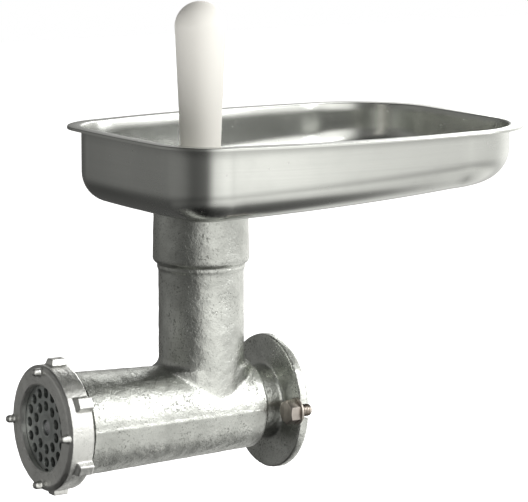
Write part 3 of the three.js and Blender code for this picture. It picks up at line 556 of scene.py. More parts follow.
class EffectShelf:
    """Builds each effect's node group once and hands it out."""

    _made: ClassVar[dict[Effect, bpy.types.NodeTree]] = {}

    @classmethod
    def get(cls, effect: Effect) -> bpy.types.NodeTree:
        """Looks up an effect's node group, and makes it on first use.

        Args:
            effect: which effect.

        Returns:
            The node group.
        """
        if effect not in cls._made:
            maker = {
                Effect.CAST_GRAIN: cls._cast_grain,
                Effect.BRUSH_LINES: cls._brush_lines,
                Effect.HANDLING: cls._handling,
                Effect.EDGE_WEAR: cls._edge_wear,
                Effect.LATHE_RINGS: cls._lathe_rings,
                Effect.GREASE_LINE: cls._grease_line,
            }[effect]
            cls._made[effect] = maker()
        return cls._made[effect]

    @staticmethod
    def _start(name: str, inputs: dict[str, float | None], outputs: Sequence[str]) -> tuple[
        bpy.types.NodeTree, Wiring, bpy.types.Node, bpy.types.Node
    ]:
        """Starts a node group.

        Args:
            name: group name.
            inputs: input names with default values; None makes a vector input.
            outputs: names of the value outputs.

        Returns:
            The tree, its wiring, its input node and its output node.
        """
        tree = bpy.data.node_groups.new(name, "ShaderNodeTree")
        for key, value in inputs.items():
            kind = "NodeSocketVector" if value is None else "NodeSocketFloat"
            socket = tree.interface.new_socket(key, in_out="INPUT", socket_type=kind)
            if value is not None:
                socket.default_value = value
        for key in outputs:
            tree.interface.new_socket(key, in_out="OUTPUT", socket_type="NodeSocketFloat")
        wires = Wiring(tree)
        return tree, wires, wires.add("NodeGroupInput"), wires.add("NodeGroupOutput")

    @classmethod
    def _cast_grain(cls) -> bpy.types.NodeTree:
        """Makes the pitted grain of a casting: height, pits and slow tone changes.

        Returns:
            The node group.
        """
        tree, w, enter, leave = cls._start(
            "cast_grain",
            {"Vector": None, "Scale": 700.0, "Pit Amount": 0.5},
            ("Height", "Pits", "Tone"),
        )
        place, scale = enter.outputs["Vector"], enter.outputs["Scale"]
        fine = w.noise(place, scale, 3.0, 0.66)
        coarse = w.noise(place, w.math("MULTIPLY", scale, 0.3), 2.0)
        hollow = w.ramp(w.noise(place, w.math("MULTIPLY", scale, 0.8), 2.0, 0.6), 0.53, 0.66)
        patch = w.ramp(w.noise(place, w.math("MULTIPLY", scale, 0.07), 3.0, 0.65), 0.4, 0.64, 0.25, 1.0)
        pits = w.math("MULTIPLY", w.math("MULTIPLY", hollow, patch), enter.outputs["Pit Amount"], clamp=True)
        swell = w.math("MULTIPLY", coarse, 0.6)
        height = w.math("SUBTRACT", w.math("ADD", fine, swell), w.math("MULTIPLY", pits, 0.5))
        tone = w.noise(place, w.math("MULTIPLY", scale, 0.03), 3.0, 0.6)
        w.feed(leave.inputs["Height"], height)
        w.feed(leave.inputs["Pits"], pits)
        w.feed(leave.inputs["Tone"], tone)
        return tree

    @classmethod
    def _brush_lines(cls) -> bpy.types.NodeTree:
        """Makes fine parallel lines: the vector comes in already stretched along them.

        Returns:
            The node group.
        """
        tree, w, enter, leave = cls._start(
            "brush_lines",
            {"Vector": None, "Scale": 1.0, "Contrast": 1.0},
            ("Height", "Streak"),
        )
        place, scale = enter.outputs["Vector"], enter.outputs["Scale"]
        fine = w.noise(place, scale, 4.0, 0.7)
        broad = w.noise(place, w.math("MULTIPLY", scale, 0.16), 2.0, 0.5)
        both = w.math("ADD", w.math("MULTIPLY", fine, 0.6), w.math("MULTIPLY", broad, 0.4))
        centred = w.math("MULTIPLY", w.math("SUBTRACT", both, 0.5), enter.outputs["Contrast"])
        w.feed(leave.inputs["Height"], fine)
        w.feed(leave.inputs["Streak"], w.math("ADD", centred, 0.5, clamp=True))
        return tree

    @classmethod
    def _handling(cls) -> bpy.types.NodeTree:
        """Makes smudges and dried specks.

        Returns:
            The node group.
        """
        tree, w, enter, leave = cls._start(
            "handling_marks",
            {"Vector": None, "Scale": 30.0, "Amount": 0.5},
            ("Smudge", "Speck"),
        )
        place, scale = enter.outputs["Vector"], enter.outputs["Scale"]
        cloud = w.ramp(w.noise(place, scale, 4.0, 0.65), 0.38, 0.72)
        spots = w.add("ShaderNodeTexVoronoi", feature="F1")
        w.feed(spots.inputs["Vector"], place)
        w.feed(spots.inputs["Scale"], w.math("MULTIPLY", scale, 9.0))
        speck = w.ramp(spots.outputs["Distance"], 0.05, 0.16, 1.0, 0.0)
        rare = w.ramp(w.noise(place, w.math("MULTIPLY", scale, 2.3), 1.0), 0.56, 0.64)
        amount = enter.outputs["Amount"]
        w.feed(leave.inputs["Smudge"], w.math("MULTIPLY", cloud, amount, clamp=True))
        w.feed(leave.inputs["Speck"], w.math("MULTIPLY", w.math("MULTIPLY", speck, rare), amount, clamp=True))
        return tree

    @classmethod
    def _edge_wear(cls) -> bpy.types.NodeTree:
        """Makes a mask of rubbed edges and one of painted shade in the corners.

        Returns:
            The node group.
        """
        tree, w, enter, leave = cls._start(
            "edge_wear",
            {"Vector": None, "Breakup": 400.0, "Amount": 1.0},
            ("Edge", "Corner"),
        )
        point = w.add("ShaderNodeNewGeometry").outputs["Pointiness"]
        grain = w.noise(enter.outputs["Vector"], enter.outputs["Breakup"], 2.0)
        shift = w.math("MULTIPLY", w.math("SUBTRACT", grain, 0.5), 0.03)
        bent = w.math("ADD", point, shift)
        amount = enter.outputs["Amount"]
        w.feed(leave.inputs["Edge"], w.math("MULTIPLY", w.ramp(bent, 0.515, 0.56), amount, clamp=True))
        # The corner mask is painted shade: it darkens where the surface is hollow.
        w.feed(leave.inputs["Corner"], w.math("MULTIPLY", w.ramp(bent, 0.485, 0.44), amount, clamp=True))
        return tree

    @classmethod
    def _lathe_rings(cls) -> bpy.types.NodeTree:
        """Makes concentric turning marks about the barrel axis.

        Returns:
            The node group.
        """
        tree, w, enter, leave = cls._start(
            "lathe_rings",
            {"Vector": None, "Scale": 900.0, "Contrast": 1.0},
            ("Height", "Ring"),
        )
        split = w.add("ShaderNodeSeparateXYZ")
        w.feed(split.inputs[0], enter.outputs["Vector"])
        square = w.math("ADD", w.math("MULTIPLY", split.outputs[1], split.outputs[1]),
                        w.math("MULTIPLY", split.outputs[2], split.outputs[2]))
        radius = w.math("SQRT", square)
        spot = w.add("ShaderNodeCombineXYZ")
        w.feed(spot.inputs[0], radius)
        w.feed(spot.inputs[1], split.outputs[0])
        lines = w.noise(spot.outputs[0], enter.outputs["Scale"], 2.0, 0.6)
        centred = w.math("MULTIPLY", w.math("SUBTRACT", lines, 0.5), enter.outputs["Contrast"])
        w.feed(leave.inputs["Height"], lines)
        w.feed(leave.inputs["Ring"], w.math("ADD", centred, 0.5, clamp=True))
        return tree

    @classmethod
    def _grease_line(cls) -> bpy.types.NodeTree:
        """Makes a painted shadow: a dark line on a cylinder, beside the nut on it.

        Returns:
            The node group.
        """
        tree, w, enter, leave = cls._start(
            "grease_line",
            {"Vector": None, "Start": 0.0, "Width": 0.002},
            ("Line",),
        )
        split = w.add("ShaderNodeSeparateXYZ")
        w.feed(split.inputs[0], enter.outputs["Vector"])
        grain = w.noise(enter.outputs["Vector"], 260.0, 3.0)
        ragged = w.math("MULTIPLY", w.math("SUBTRACT", grain, 0.5), 0.9)
        past = w.math("SUBTRACT", split.outputs[0], enter.outputs["Start"])
        along = w.math("DIVIDE", past, enter.outputs["Width"])
        w.feed(leave.inputs["Line"], w.ramp(w.math("ADD", along, ragged), 0.75, 1.25, 1.0, 0.0))
        return tree


# ---------------------------------------------------------------- finishes


@dataclass(frozen=True)
class Finish(ABC):
    """A surface finish that makes its own material.

    Attributes:
        name: material name.
        light: colour of the clean, raised surface.
        dark: colour of worn, dirty or recessed surface; in recesses it is painted shade.
        roughness: middle roughness.
        metallic: 1 for metals.
    """

    name: str
    light: Colour
    dark: Colour
    roughness: float
    metallic: float

    def material(self) -> bpy.types.Material:
        """Returns the finish's material, made on first use."""
        found = bpy.data.materials.get(self.name)
        if found:
            return found
        mat = bpy.data.materials.new(self.name)
        mat.use_nodes = True
        tree = mat.node_tree
        tree.nodes.clear()
        wires = Wiring(tree)
        output = wires.add("ShaderNodeOutputMaterial")
        shader = wires.add("ShaderNodeBsdfPrincipled")
        tree.links.new(shader.outputs[0], output.inputs[0])
        shader.inputs["Metallic"].default_value = self.metallic
        place = wires.add("ShaderNodeTexCoord").outputs["Object"]
        self.wire(wires, shader, place)
        return mat

    @abstractmethod
    def wire(self, w: Wiring, shader: bpy.types.Node, place: bpy.types.NodeSocket) -> None:
        """Feeds the shader's colour, roughness and normal.

        Args:
            w: wiring of the material's tree.
            shader: the Principled BSDF node.
            place: object coordinates.
        """

    @staticmethod
    def bump(w: Wiring, shader: bpy.types.Node, height: bpy.types.NodeSocket, strength: float,
             depth: float) -> None:
        """Feeds the shader's normal from a height.

        Args:
            w: wiring of the material's tree.
            shader: the Principled BSDF node.
            height: height from 0 to 1.
            strength: bump strength.
            depth: what a height of 1 stands for, in millimetres.
        """
        node = w.add("ShaderNodeBump")
        node.inputs["Strength"].default_value = strength
        node.inputs["Distance"].default_value = depth * MM
        w.feed(node.inputs["Height"], height)
        w.feed(shader.inputs["Normal"], node.outputs[0])


@dataclass(frozen=True)
class TinnedCast(Finish):
    """Hot-tinned iron with a pitted skin.

    Attributes:
        grain: grain scale, per metre.
        pits: how many pits show.
        depth: grain height in millimetres.
        shadow_line_x: where the painted shadow line beside the nut starts, in millimetres, or None for none.
    """

    grain: float = 700.0
    pits: float = 0.6
    depth: float = 0.22
    shadow_line_x: float | None = None

    def wire(self, w: Wiring, shader: bpy.types.Node, place: bpy.types.NodeSocket) -> None:
        """Feeds the shader from the cast grain, smudges, rubbed edges, painted shade in the corners and a
        painted shadow line beside the nut.

        Args:
            w: wiring of the tree.
            shader: the Principled BSDF node.
            place: object coordinates.
        """
        grain = w.group(Effect.CAST_GRAIN, vector=place, scale=self.grain, pit_amount=self.pits)
        marks = w.group(Effect.HANDLING, vector=place, scale=34.0, amount=0.6)
        wear_and_shade = w.group(Effect.EDGE_WEAR, vector=place, breakup=500.0, amount=0.8)
        tone = w.ramp(grain.outputs["Tone"], 0.3, 0.7)
        base = w.mix(w.math("MULTIPLY", tone, 0.45), self.light, self.dark)
        pitted = w.mix(w.math("MULTIPLY", grain.outputs["Pits"], 0.75), base, self.dark)
        # Painted shade: darker in the corners and creases of the casting.
        corner_shaded = w.mix(w.math("MULTIPLY", wear_and_shade.outputs["Corner"], 0.55), pitted, self.dark)
        bright = w.mix(w.math("MULTIPLY", wear_and_shade.outputs["Edge"], 0.6), corner_shaded, (0.9, 0.9, 0.88, 1.0))
        # Painted shadow: a near-black line on the barrel where it meets the ring nut.
        if self.shadow_line_x is not None:
            line = w.group(Effect.GREASE_LINE, vector=place, start=self.shadow_line_x * MM, width=1.6 * MM)
            bright = w.mix(w.math("MULTIPLY", line.outputs["Line"], 0.93), bright, (0.03, 0.03, 0.026, 1.0))
        w.feed(shader.inputs["Base Color"], bright)
        rough = w.math("ADD", w.math("MULTIPLY", grain.outputs["Tone"], 0.16), self.roughness - 0.08)
        rough = w.math("ADD", rough, w.math("MULTIPLY", grain.outputs["Pits"], 0.25))
        rough = w.math("ADD", rough, w.math("MULTIPLY", marks.outputs["Smudge"], 0.12), clamp=True)
        w.feed(shader.inputs["Roughness"], rough)
        self.bump(w, shader, grain.outputs["Height"], 0.75, self.depth)


@dataclass(frozen=True)
class Satin(Finish):
    """Stainless sheet with a fine directional satin.

    Attributes:
        stretch: multiplier of each coordinate, per metre; small along the lines.
        floor_stretch: the same, where the surface faces up or down.
        swell_scale: scale of the drawn sheet's unevenness, per metre.
        swell: height of that unevenness in millimetres.
    """

    stretch: tuple[float, float, float] = (6.0, 6.0, 900.0)
    floor_stretch: tuple[float, float, float] = (6.0, 900.0, 6.0)
    swell_scale: float = 11.0
    swell: float = 1.1

    def wire(self, w: Wiring, shader: bpy.types.Node, place: bpy.types.NodeSocket) -> None:
        """Feeds the shader from brush lines that follow the drawn sheet, and from handling marks.

        Args:
            w: wiring of the tree.
            shader: the Principled BSDF node.
            place: object coordinates.
        """
        normal = w.add("ShaderNodeSeparateXYZ")
        w.feed(normal.inputs[0], w.add("ShaderNodeTexCoord").outputs["Normal"])
        level = w.ramp(w.math("ABSOLUTE", normal.outputs[2]), 0.6, 0.85)
        wall = self._lines(w, place, self.stretch)
        flat = self._lines(w, place, self.floor_stretch)
        streak = self._blend(w, level, wall.outputs["Streak"], flat.outputs["Streak"])
        height = self._blend(w, level, wall.outputs["Height"], flat.outputs["Height"])
        marks = w.group(Effect.HANDLING, vector=place, scale=16.0, amount=0.7)
        base = w.mix(w.math("MULTIPLY", streak, 0.5), self.light, self.dark)
        base = w.mix(w.math("MULTIPLY", marks.outputs["Smudge"], 0.25), base, self.dark)
        w.feed(shader.inputs["Base Color"], base)
        rough = w.math("ADD", w.math("MULTIPLY", streak, 0.14), self.roughness - 0.07)
        rough = w.math("ADD", rough, w.math("MULTIPLY", marks.outputs["Smudge"], 0.08))
        rough = w.math("ADD", rough, w.math("MULTIPLY", marks.outputs["Speck"], 0.2), clamp=True)
        w.feed(shader.inputs["Roughness"], rough)
        swell = w.noise(place, self.swell_scale, 2.0, 0.4)
        self.bump(w, shader, w.math("ADD", swell, w.math("MULTIPLY", height, 0.003)), 1.0, self.swell)

    @staticmethod
    def _lines(w: Wiring, place: bpy.types.NodeSocket, stretch: tuple[float, float, float]) -> bpy.types.Node:
        """Places the brush lines with one stretch.

        Args:
            w: wiring of the tree.
            place: object coordinates.
            stretch: multiplier of each coordinate, per metre.

        Returns:
            The group node, with Streak and Height outputs.
        """
        scaled = w.add("ShaderNodeVectorMath", operation="MULTIPLY")
        w.feed(scaled.inputs[0], place)
        scaled.inputs[1].default_value = stretch
        return w.group(Effect.BRUSH_LINES, vector=scaled.outputs[0], scale=1.0, contrast=0.8)

    @staticmethod
    def _blend(w: Wiring, factor: bpy.types.NodeSocket, a: bpy.types.NodeSocket,
               b: bpy.types.NodeSocket) -> bpy.types.NodeSocket:
        """Blends two values.

        Args:
            w: wiring of the tree.
            factor: share of the second value.
            a: first value.
            b: second value.

        Returns:
            The blended value.
        """
        node = w.add("ShaderNodeMix", data_type="FLOAT")
        for socket, source in zip(node.inputs[0:1] + node.inputs[2:4], (factor, a, b)):
            w.feed(socket, source)
        return node.outputs[0]


@dataclass(frozen=True)
class Turned(Finish):
    """Machined or ground metal with turning marks about the barrel axis.

    Attributes:
        marks: spacing scale of the turning marks, per metre.
        darkening: how dark the smudges and the painted shade in the corners are, 0 to 1.
    """

    marks: float = 900.0
    darkening: float = 0.4

    def wire(self, w: Wiring, shader: bpy.types.Node, place: bpy.types.NodeSocket) -> None:
        """Feeds the shader from turning marks, smudges and painted shade in the corners.

        Args:
            w: wiring of the tree.
            shader: the Principled BSDF node.
            place: object coordinates.
        """
        rings = w.group(Effect.LATHE_RINGS, vector=place, scale=self.marks, contrast=1.4)
        smear = w.group(Effect.HANDLING, vector=place, scale=60.0, amount=0.8)
        wear_and_shade = w.group(Effect.EDGE_WEAR, vector=place, breakup=700.0, amount=1.0)
        base = w.mix(w.math("MULTIPLY", rings.outputs["Ring"], 0.5), self.light, self.dark)
        base = w.mix(w.math("MULTIPLY", smear.outputs["Smudge"], self.darkening), base, self.dark)
        # Painted shade: darker in the corners and creases.
        base = w.mix(w.math("MULTIPLY", wear_and_shade.outputs["Corner"], self.darkening), base, self.dark)
        w.feed(shader.inputs["Base Color"], base)
        rough = w.math("ADD", w.math("MULTIPLY", rings.outputs["Ring"], 0.18), self.roughness - 0.09)
        rough = w.math("ADD", rough, w.math("MULTIPLY", smear.outputs["Smudge"], 0.15), clamp=True)
        w.feed(shader.inputs["Roughness"], rough)
        self.bump(w, shader, rings.outputs["Height"], 0.2, 0.04)


@dataclass(frozen=True)
class Moulded(Finish):
    """Moulded plastic or rubber.

    Attributes:
        grain: scale of the skin's fine grain, per metre.
        darkening: how much the marks of use darken it.
    """

    grain: float = 900.0
    darkening: float = 0.12

    def wire(self, w: Wiring, shader: bpy.types.Node, place: bpy.types.NodeSocket) -> None:
        """Feeds the shader from a fine skin grain and marks of use.

        Args:
            w: wiring of the tree.
            shader: the Principled BSDF node.
            place: object coordinates.
        """
        skin = w.noise(place, self.grain, 3.0, 0.6)
        drift = w.ramp(w.noise(place, 22.0, 3.0, 0.6), 0.35, 0.7)
        marks = w.group(Effect.HANDLING, vector=place, scale=26.0, amount=0.8)
        base = w.mix(w.math("MULTIPLY", drift, self.darkening), self.light, self.dark)
        base = w.mix(w.math("MULTIPLY", marks.outputs["Speck"], self.darkening * 1.5), base, self.dark)
        w.feed(shader.inputs["Base Color"], base)
        rough = w.math("ADD", w.math("MULTIPLY", skin, 0.14), self.roughness - 0.07)
        rough = w.math("ADD", rough, w.math("MULTIPLY", marks.outputs["Smudge"], 0.1), clamp=True)
        w.feed(shader.inputs["Roughness"], rough)
        self.bump(w, shader, skin, 0.18, 0.06)


CAST_IRON = TinnedCast(
    "tinned_cast_iron", light=(0.735, 0.75, 0.71, 1), dark=(0.17, 0.175, 0.16, 1), roughness=0.28,
    metallic=1.0, grain=680.0, pits=0.8, depth=0.34, shadow_line_x=-181.9)
CAST_RING = TinnedCast(
    "tinned_ring_iron", light=(0.9, 0.9, 0.87, 1), dark=(0.5, 0.51, 0.48, 1), roughness=0.32, metallic=1.0,
    grain=560.0, pits=0.55, depth=0.24)
CAST_WORM = TinnedCast(
    "tinned_worm_iron", light=(0.6, 0.6, 0.58, 1), dark=(0.28, 0.28, 0.26, 1), roughness=0.36, metallic=1.0,
    grain=800.0, pits=0.5, depth=0.18)
SHEET = Satin(
    "satin_stainless", light=(0.67, 0.68, 0.65, 1), dark=(0.44, 0.45, 0.43, 1), roughness=0.22, metallic=1.0)
PLATE_STEEL = Turned(
    "ground_plate_steel", light=(0.66, 0.69, 0.67, 1), dark=(0.24, 0.26, 0.25, 1), roughness=0.42,
    metallic=1.0, marks=900.0, darkening=0.5)
BRIGHT_STEEL = Turned(
    "turned_bright_steel", light=(0.62, 0.63, 0.64, 1), dark=(0.3, 0.3, 0.31, 1), roughness=0.28,
    metallic=1.0, marks=1200.0, darkening=0.3)
SCREW_STEEL = Turned(
    "zinc_screw_steel", light=(0.7, 0.63, 0.57, 1), dark=(0.25, 0.24, 0.22, 1), roughness=0.3, metallic=1.0,
    marks=700.0, darkening=0.6)
BRONZE = Turned(
    "bearing_bronze", light=(0.72, 0.47, 0.22, 1), dark=(0.36, 0.22, 0.1, 1), roughness=0.34, metallic=1.0,
    marks=1000.0, darkening=0.4)
WHITE_PLASTIC = Moulded(
    "white_plastic", light=(0.82, 0.81, 0.785, 1), dark=(0.62, 0.59, 0.53, 1), roughness=0.42, metallic=0.0)
NYLON = Moulded(
    "plain_nylon", light=(0.78, 0.76, 0.68, 1), dark=(0.5, 0.47, 0.4, 1), roughness=0.5, metallic=0.0)
RUBBER = Moulded(
    "nitrile_rubber", light=(0.025, 0.025, 0.026, 1), dark=(0.06, 0.058, 0.055, 1), roughness=0.62,
    metallic=0.0, grain=700.0, darkening=0.3)


# ---------------------------------------------------------------- sub-assemblies


@dataclass
class Piece(ABC):
    """A visible piece that stands for CAD nodes."""

    name: ClassVar[str]
    node: ClassVar[str]
    body: ClassVar[str]
    slot: ClassVar[str]
    finish: ClassVar[Finish]

    @abstractmethod
    def build(self) -> bpy.types.Object:
        """Builds the mesh in the row frame and returns its object.

        Returns:
            The piece's object.
        """

    def dress(self, obj: bpy.types.Object) -> None:
        """Gives the object its finish.

        Args:
            obj: object to work on.
        """
        obj.data.materials.clear()
        obj.data.materials.append(self.finish.material())

    def make(self) -> bpy.types.Object:
        """Builds and dresses the piece, and has it ride with its body.

        Returns:
            The finished object.
        """
        obj = self.build()
        self.dress(obj)
        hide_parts(self.node)
        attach(obj, self.body)
        LOG.info("%s: %d faces, stands for %s", obj.name, len(obj.data.polygons), self.node)
        return obj


@dataclass
class HeadCasting(Piece):
    """Barrel, neck with collar, hub and flange, cast in one. Sizes are in millimetres."""

    name: ClassVar[str] = "cast_head"
    node: ClassVar[str] = "head_casting"
    body: ClassVar[str] = "head"
    slot: ClassVar[str] = "tinned_casting"
    finish: ClassVar[Finish] = CAST_IRON

    barrel_front_r: float = 39.6
    barrel_rear_r: float = 34.5
    barrel_end_x: float = -24.9
    shoulder_x: float = -182.0
    mouth_r: float = 38.9
    thread_root_r: float = 37.9
    thread_pitch: float = 4.0
    hub_r: float = 28.0
    flange_r: float = 52.6
    flange_t: float = 7.7
    neck_x: float = -65.5
    neck_r: float = 33.0
    collar_r: float = 37.2
    collar_top_r: float = 36.5
    collar_z: float = 115.0
    neck_top_z: float = 157.0
    bore_r: float = 30.5
    bore_end_x: float = -33.5
    plate_socket_r: float = 35.3
    socket_end_x: float = -181.3
    neck_bore_r: float = 26.5
    neck_socket_r: float = 29.4
    neck_socket_depth: float = 32.0
    bush_r: float = 13.65
    seal_r: float = 17.3
    seal_x: float = -8.8
    slot_half_w: float = 5.9
    slot_circle_r: float = 48.0
    seam_lift: float = 0.55
    seam_w: float = 1.5
    taper_run: float = 157.0
    fillet_reach: float = 7.0
    fillet_rounds: int = 14
    voxel: float = 0.95

    def build(self) -> bpy.types.Object:
        """Fuses the outside, softens it, then cuts the machined bores and slots.

        Returns:
            The piece's object.
        """
        obj = self._outside().to_object(self.name)
        Workshop.cast(obj, self.voxel, 9)
        self._fill_root(obj)
        Workshop.ripple(obj, 0.22, 9.0, self._is_cast)
        Workshop.combine(obj, self._bores().to_object("bore_tool"))
        Workshop.combine(obj, self._neck_bore().to_object("neck_tool"))
        for side in (1, -1):
            Workshop.combine(obj, self._slot(side).to_object("slot_tool"))
        Workshop.shade(obj, 40.0)
        return obj

    def _mouth_x(self) -> float:
        """Returns where the casting starts at its outlet."""
        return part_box(self.node)[0].x / MM

    def _is_cast(self, spot: Vector) -> float:
        """Tells where the skin is cast and not machined.

        Args:
            spot: place in millimetres.

        Returns:
            1 on the cast skin, and 0 at the threaded mouth and on the machined faces.
        """
        front = min(1.0, max(0.0, (spot.x - self.shoulder_x) / 3))
        rear = 0.0 if spot.x > -0.6 else 1.0
        top = min(1.0, max(0.0, (self.neck_top_z - 0.5 - spot.z) / 2))
        return front * rear * top

    def _thread_outline(self) -> list[Point]:
        """Returns the threaded mouth's outline."""
        points: list[Point] = []
        x = self._mouth_x() + 2.5
        while x < self.shoulder_x - 5:
            half = self.thread_pitch / 2
            points += [(x, self.thread_root_r), (x + 0.6, self.mouth_r + 0.2),
                       (x + 1.4, self.mouth_r + 0.2), (x + half, self.thread_root_r)]
            x += self.thread_pitch
        return points

    def _outside(self) -> Shape:
        """Returns the overlapping shells of the outside."""
        mouth = self._mouth_x()
        barrel = revolve([
            (mouth, 0), (mouth, self.thread_root_r - 0.8), (mouth + 0.8, self.thread_root_r),
            *self._thread_outline(),
            (self.shoulder_x, self.thread_root_r),
            (self.shoulder_x, self.barrel_front_r - 0.6), (self.shoulder_x + 0.6, self.barrel_front_r),
            (self.barrel_end_x - 1.2, self.barrel_rear_r), (self.barrel_end_x, self.barrel_rear_r - 1.2),
            (self.barrel_end_x, 0),
        ], Axis.X)
        hub = revolve([
            (self.barrel_end_x - 3, 0), (self.barrel_end_x - 3, self.hub_r), (-self.flange_t - 2, self.hub_r),
            (-self.flange_t, self.hub_r + 1.5), (-self.flange_t + 1, self.hub_r + 2), (-self.flange_t + 1, 0),
        ], Axis.X)
        flange = revolve(rounded([
            (-self.flange_t, 0), (-self.flange_t, self.flange_r), (0, self.flange_r), (0, 0),
        ], 0.7), Axis.X, 200)
        neck = revolve([
            (0, 0), (0, self.neck_r), (self.collar_z - 4.5, self.neck_r),
            (self.collar_z - 3.8, self.neck_r + 1.1),
            (self.collar_z - 2.4, self.neck_r + 1.1), (self.collar_z - 1.4, self.neck_r + 0.2),
            (self.collar_z, self.neck_r + 0.8), *self._collar_edge(),
            (self.neck_top_z - 1, self.collar_top_r), (self.neck_top_z, self.collar_top_r - 1),
            (self.neck_top_z, 0),
        ], Axis.Z).moved(self.neck_x)
        return barrel.joined(hub, flange, neck, self._root(), *self._seams())

    def _collar_edge(self) -> list[Point]:
        """Returns the rounded lower edge of the collar."""
        radius = 3.8
        return [
            (self.collar_z + radius - radius * math.sin(a), self.collar_r - radius + radius * math.cos(a))
            for a in (math.radians(d) for d in (75, 55, 35, 15, 0))
        ]

    def _root(self) -> Shape:
        """Returns the flare at the foot of the neck, narrowed to the neck's width across the barrel."""
        fillet = 7.0
        foot = (self.barrel_front_r + self.barrel_rear_r) / 2 - 2
        flare = [
            (foot + fillet - fillet * math.cos(a), self.neck_r + fillet - fillet * math.sin(a))
            for a in (math.radians(d) for d in (0, 18, 36, 54, 72, 90))
        ]
        root = revolve([(0, 0), (0, self.neck_r + fillet), *flare, (foot + fillet, 0)], Axis.Z)
        for v in root.verts:
            radius = math.hypot(v.x, v.y)
            if radius > self.neck_r - 1:
                v.y *= (self.neck_r - 1) / radius
        return root.moved(self.neck_x)

    def _seams(self) -> list[Shape]:
        """Returns the raised parting seams along both sides of the barrel."""
        half = self.seam_w / 2
        ends = ((self.shoulder_x + 2, self.barrel_front_r + self.seam_lift),
                (self.barrel_end_x - 3, self.barrel_rear_r + self.seam_lift))
        verts = [Vector((x, y, z)) for x, r in ends
                 for y, z in ((r - 4, -half), (r, -half), (r, half), (r - 4, half))]
        faces = [(0, 1, 2, 3), (7, 6, 5, 4), (0, 4, 5, 1), (1, 5, 6, 2), (2, 6, 7, 3), (3, 7, 4, 0)]
        bar = Shape(verts, faces).facing_out()
        return [bar.turned(angle) for angle in (0, 180)]

    def _fill_root(self, obj: bpy.types.Object) -> None:
        """Smooths the crease between neck and barrel into a wide casting fillet.

        Args:
            obj: object to work on.
        """
        group = obj.vertex_groups.new(name="crease")
        for vert in obj.data.vertices:
            p = vert.co / MM
            share = (p.x - self.shoulder_x) / self.taper_run
            skin_r = self.barrel_front_r + (self.barrel_rear_r - self.barrel_front_r) * share
            barrel = math.hypot(p.y, p.z) - skin_r
            neck = math.hypot(p.x - self.neck_x, p.y) - self.neck_r
            gap = math.hypot(max(0.0, barrel), max(0.0, neck))
            if p.z > 0 and gap < self.fillet_reach and p.x < self.barrel_end_x - 2:
                group.add([vert.index], 1 - gap / self.fillet_reach, "REPLACE")
        soften = obj.modifiers.new("fillet", "SMOOTH")
        soften.factor = 0.6
        soften.iterations = self.fillet_rounds
        soften.vertex_group = group.name
        Workshop.apply(obj)

    def _bores(self) -> Shape:
        """Returns the tool for the barrel's bore, the plate's seat, the bush and the seal."""
        mouth = self._mouth_x()
        return revolve([
            (mouth - 3, 0), (mouth - 3, self.plate_socket_r), (self.socket_end_x, self.plate_socket_r),
            (self.socket_end_x, self.bore_r), (self.bore_end_x, self.bore_r), (self.bore_end_x, self.bush_r),
            (self.seal_x, self.bush_r), (self.seal_x, self.seal_r), (3, self.seal_r), (3, 0),
        ], Axis.X, 144)

    def _neck_bore(self) -> Shape:
        """Returns the tool for the neck's bore and its wider mouth."""
        step = self.neck_top_z - self.neck_socket_depth
        return revolve([
            (5, 0), (5, self.neck_bore_r), (step, self.neck_bore_r), (step, self.neck_socket_r),
            (self.neck_top_z + 3, self.neck_socket_r), (self.neck_top_z + 3, 0),
        ], Axis.Z, 144).moved(self.neck_x)

    def _slot(self, side: int) -> Shape:
        """Makes the tool for one open slot in the flange.

        Args:
            side: 1 for +Y and -1 for -Y.

        Returns:
            The tool, longer than the flange is thick.
        """
        outline: list[Point] = []
        for k in range(25):
            angle = math.radians(90 + 180 * k / 24)
            y = self.slot_circle_r + self.slot_half_w * math.cos(angle)
            outline.append((side * y, side * self.slot_half_w * math.sin(angle)))
        far = side * (self.flange_r + 4)
        outline += [(far, -side * self.slot_half_w), (far, side * self.slot_half_w)]
        return prism(outline, -self.flange_t - 4, 4)


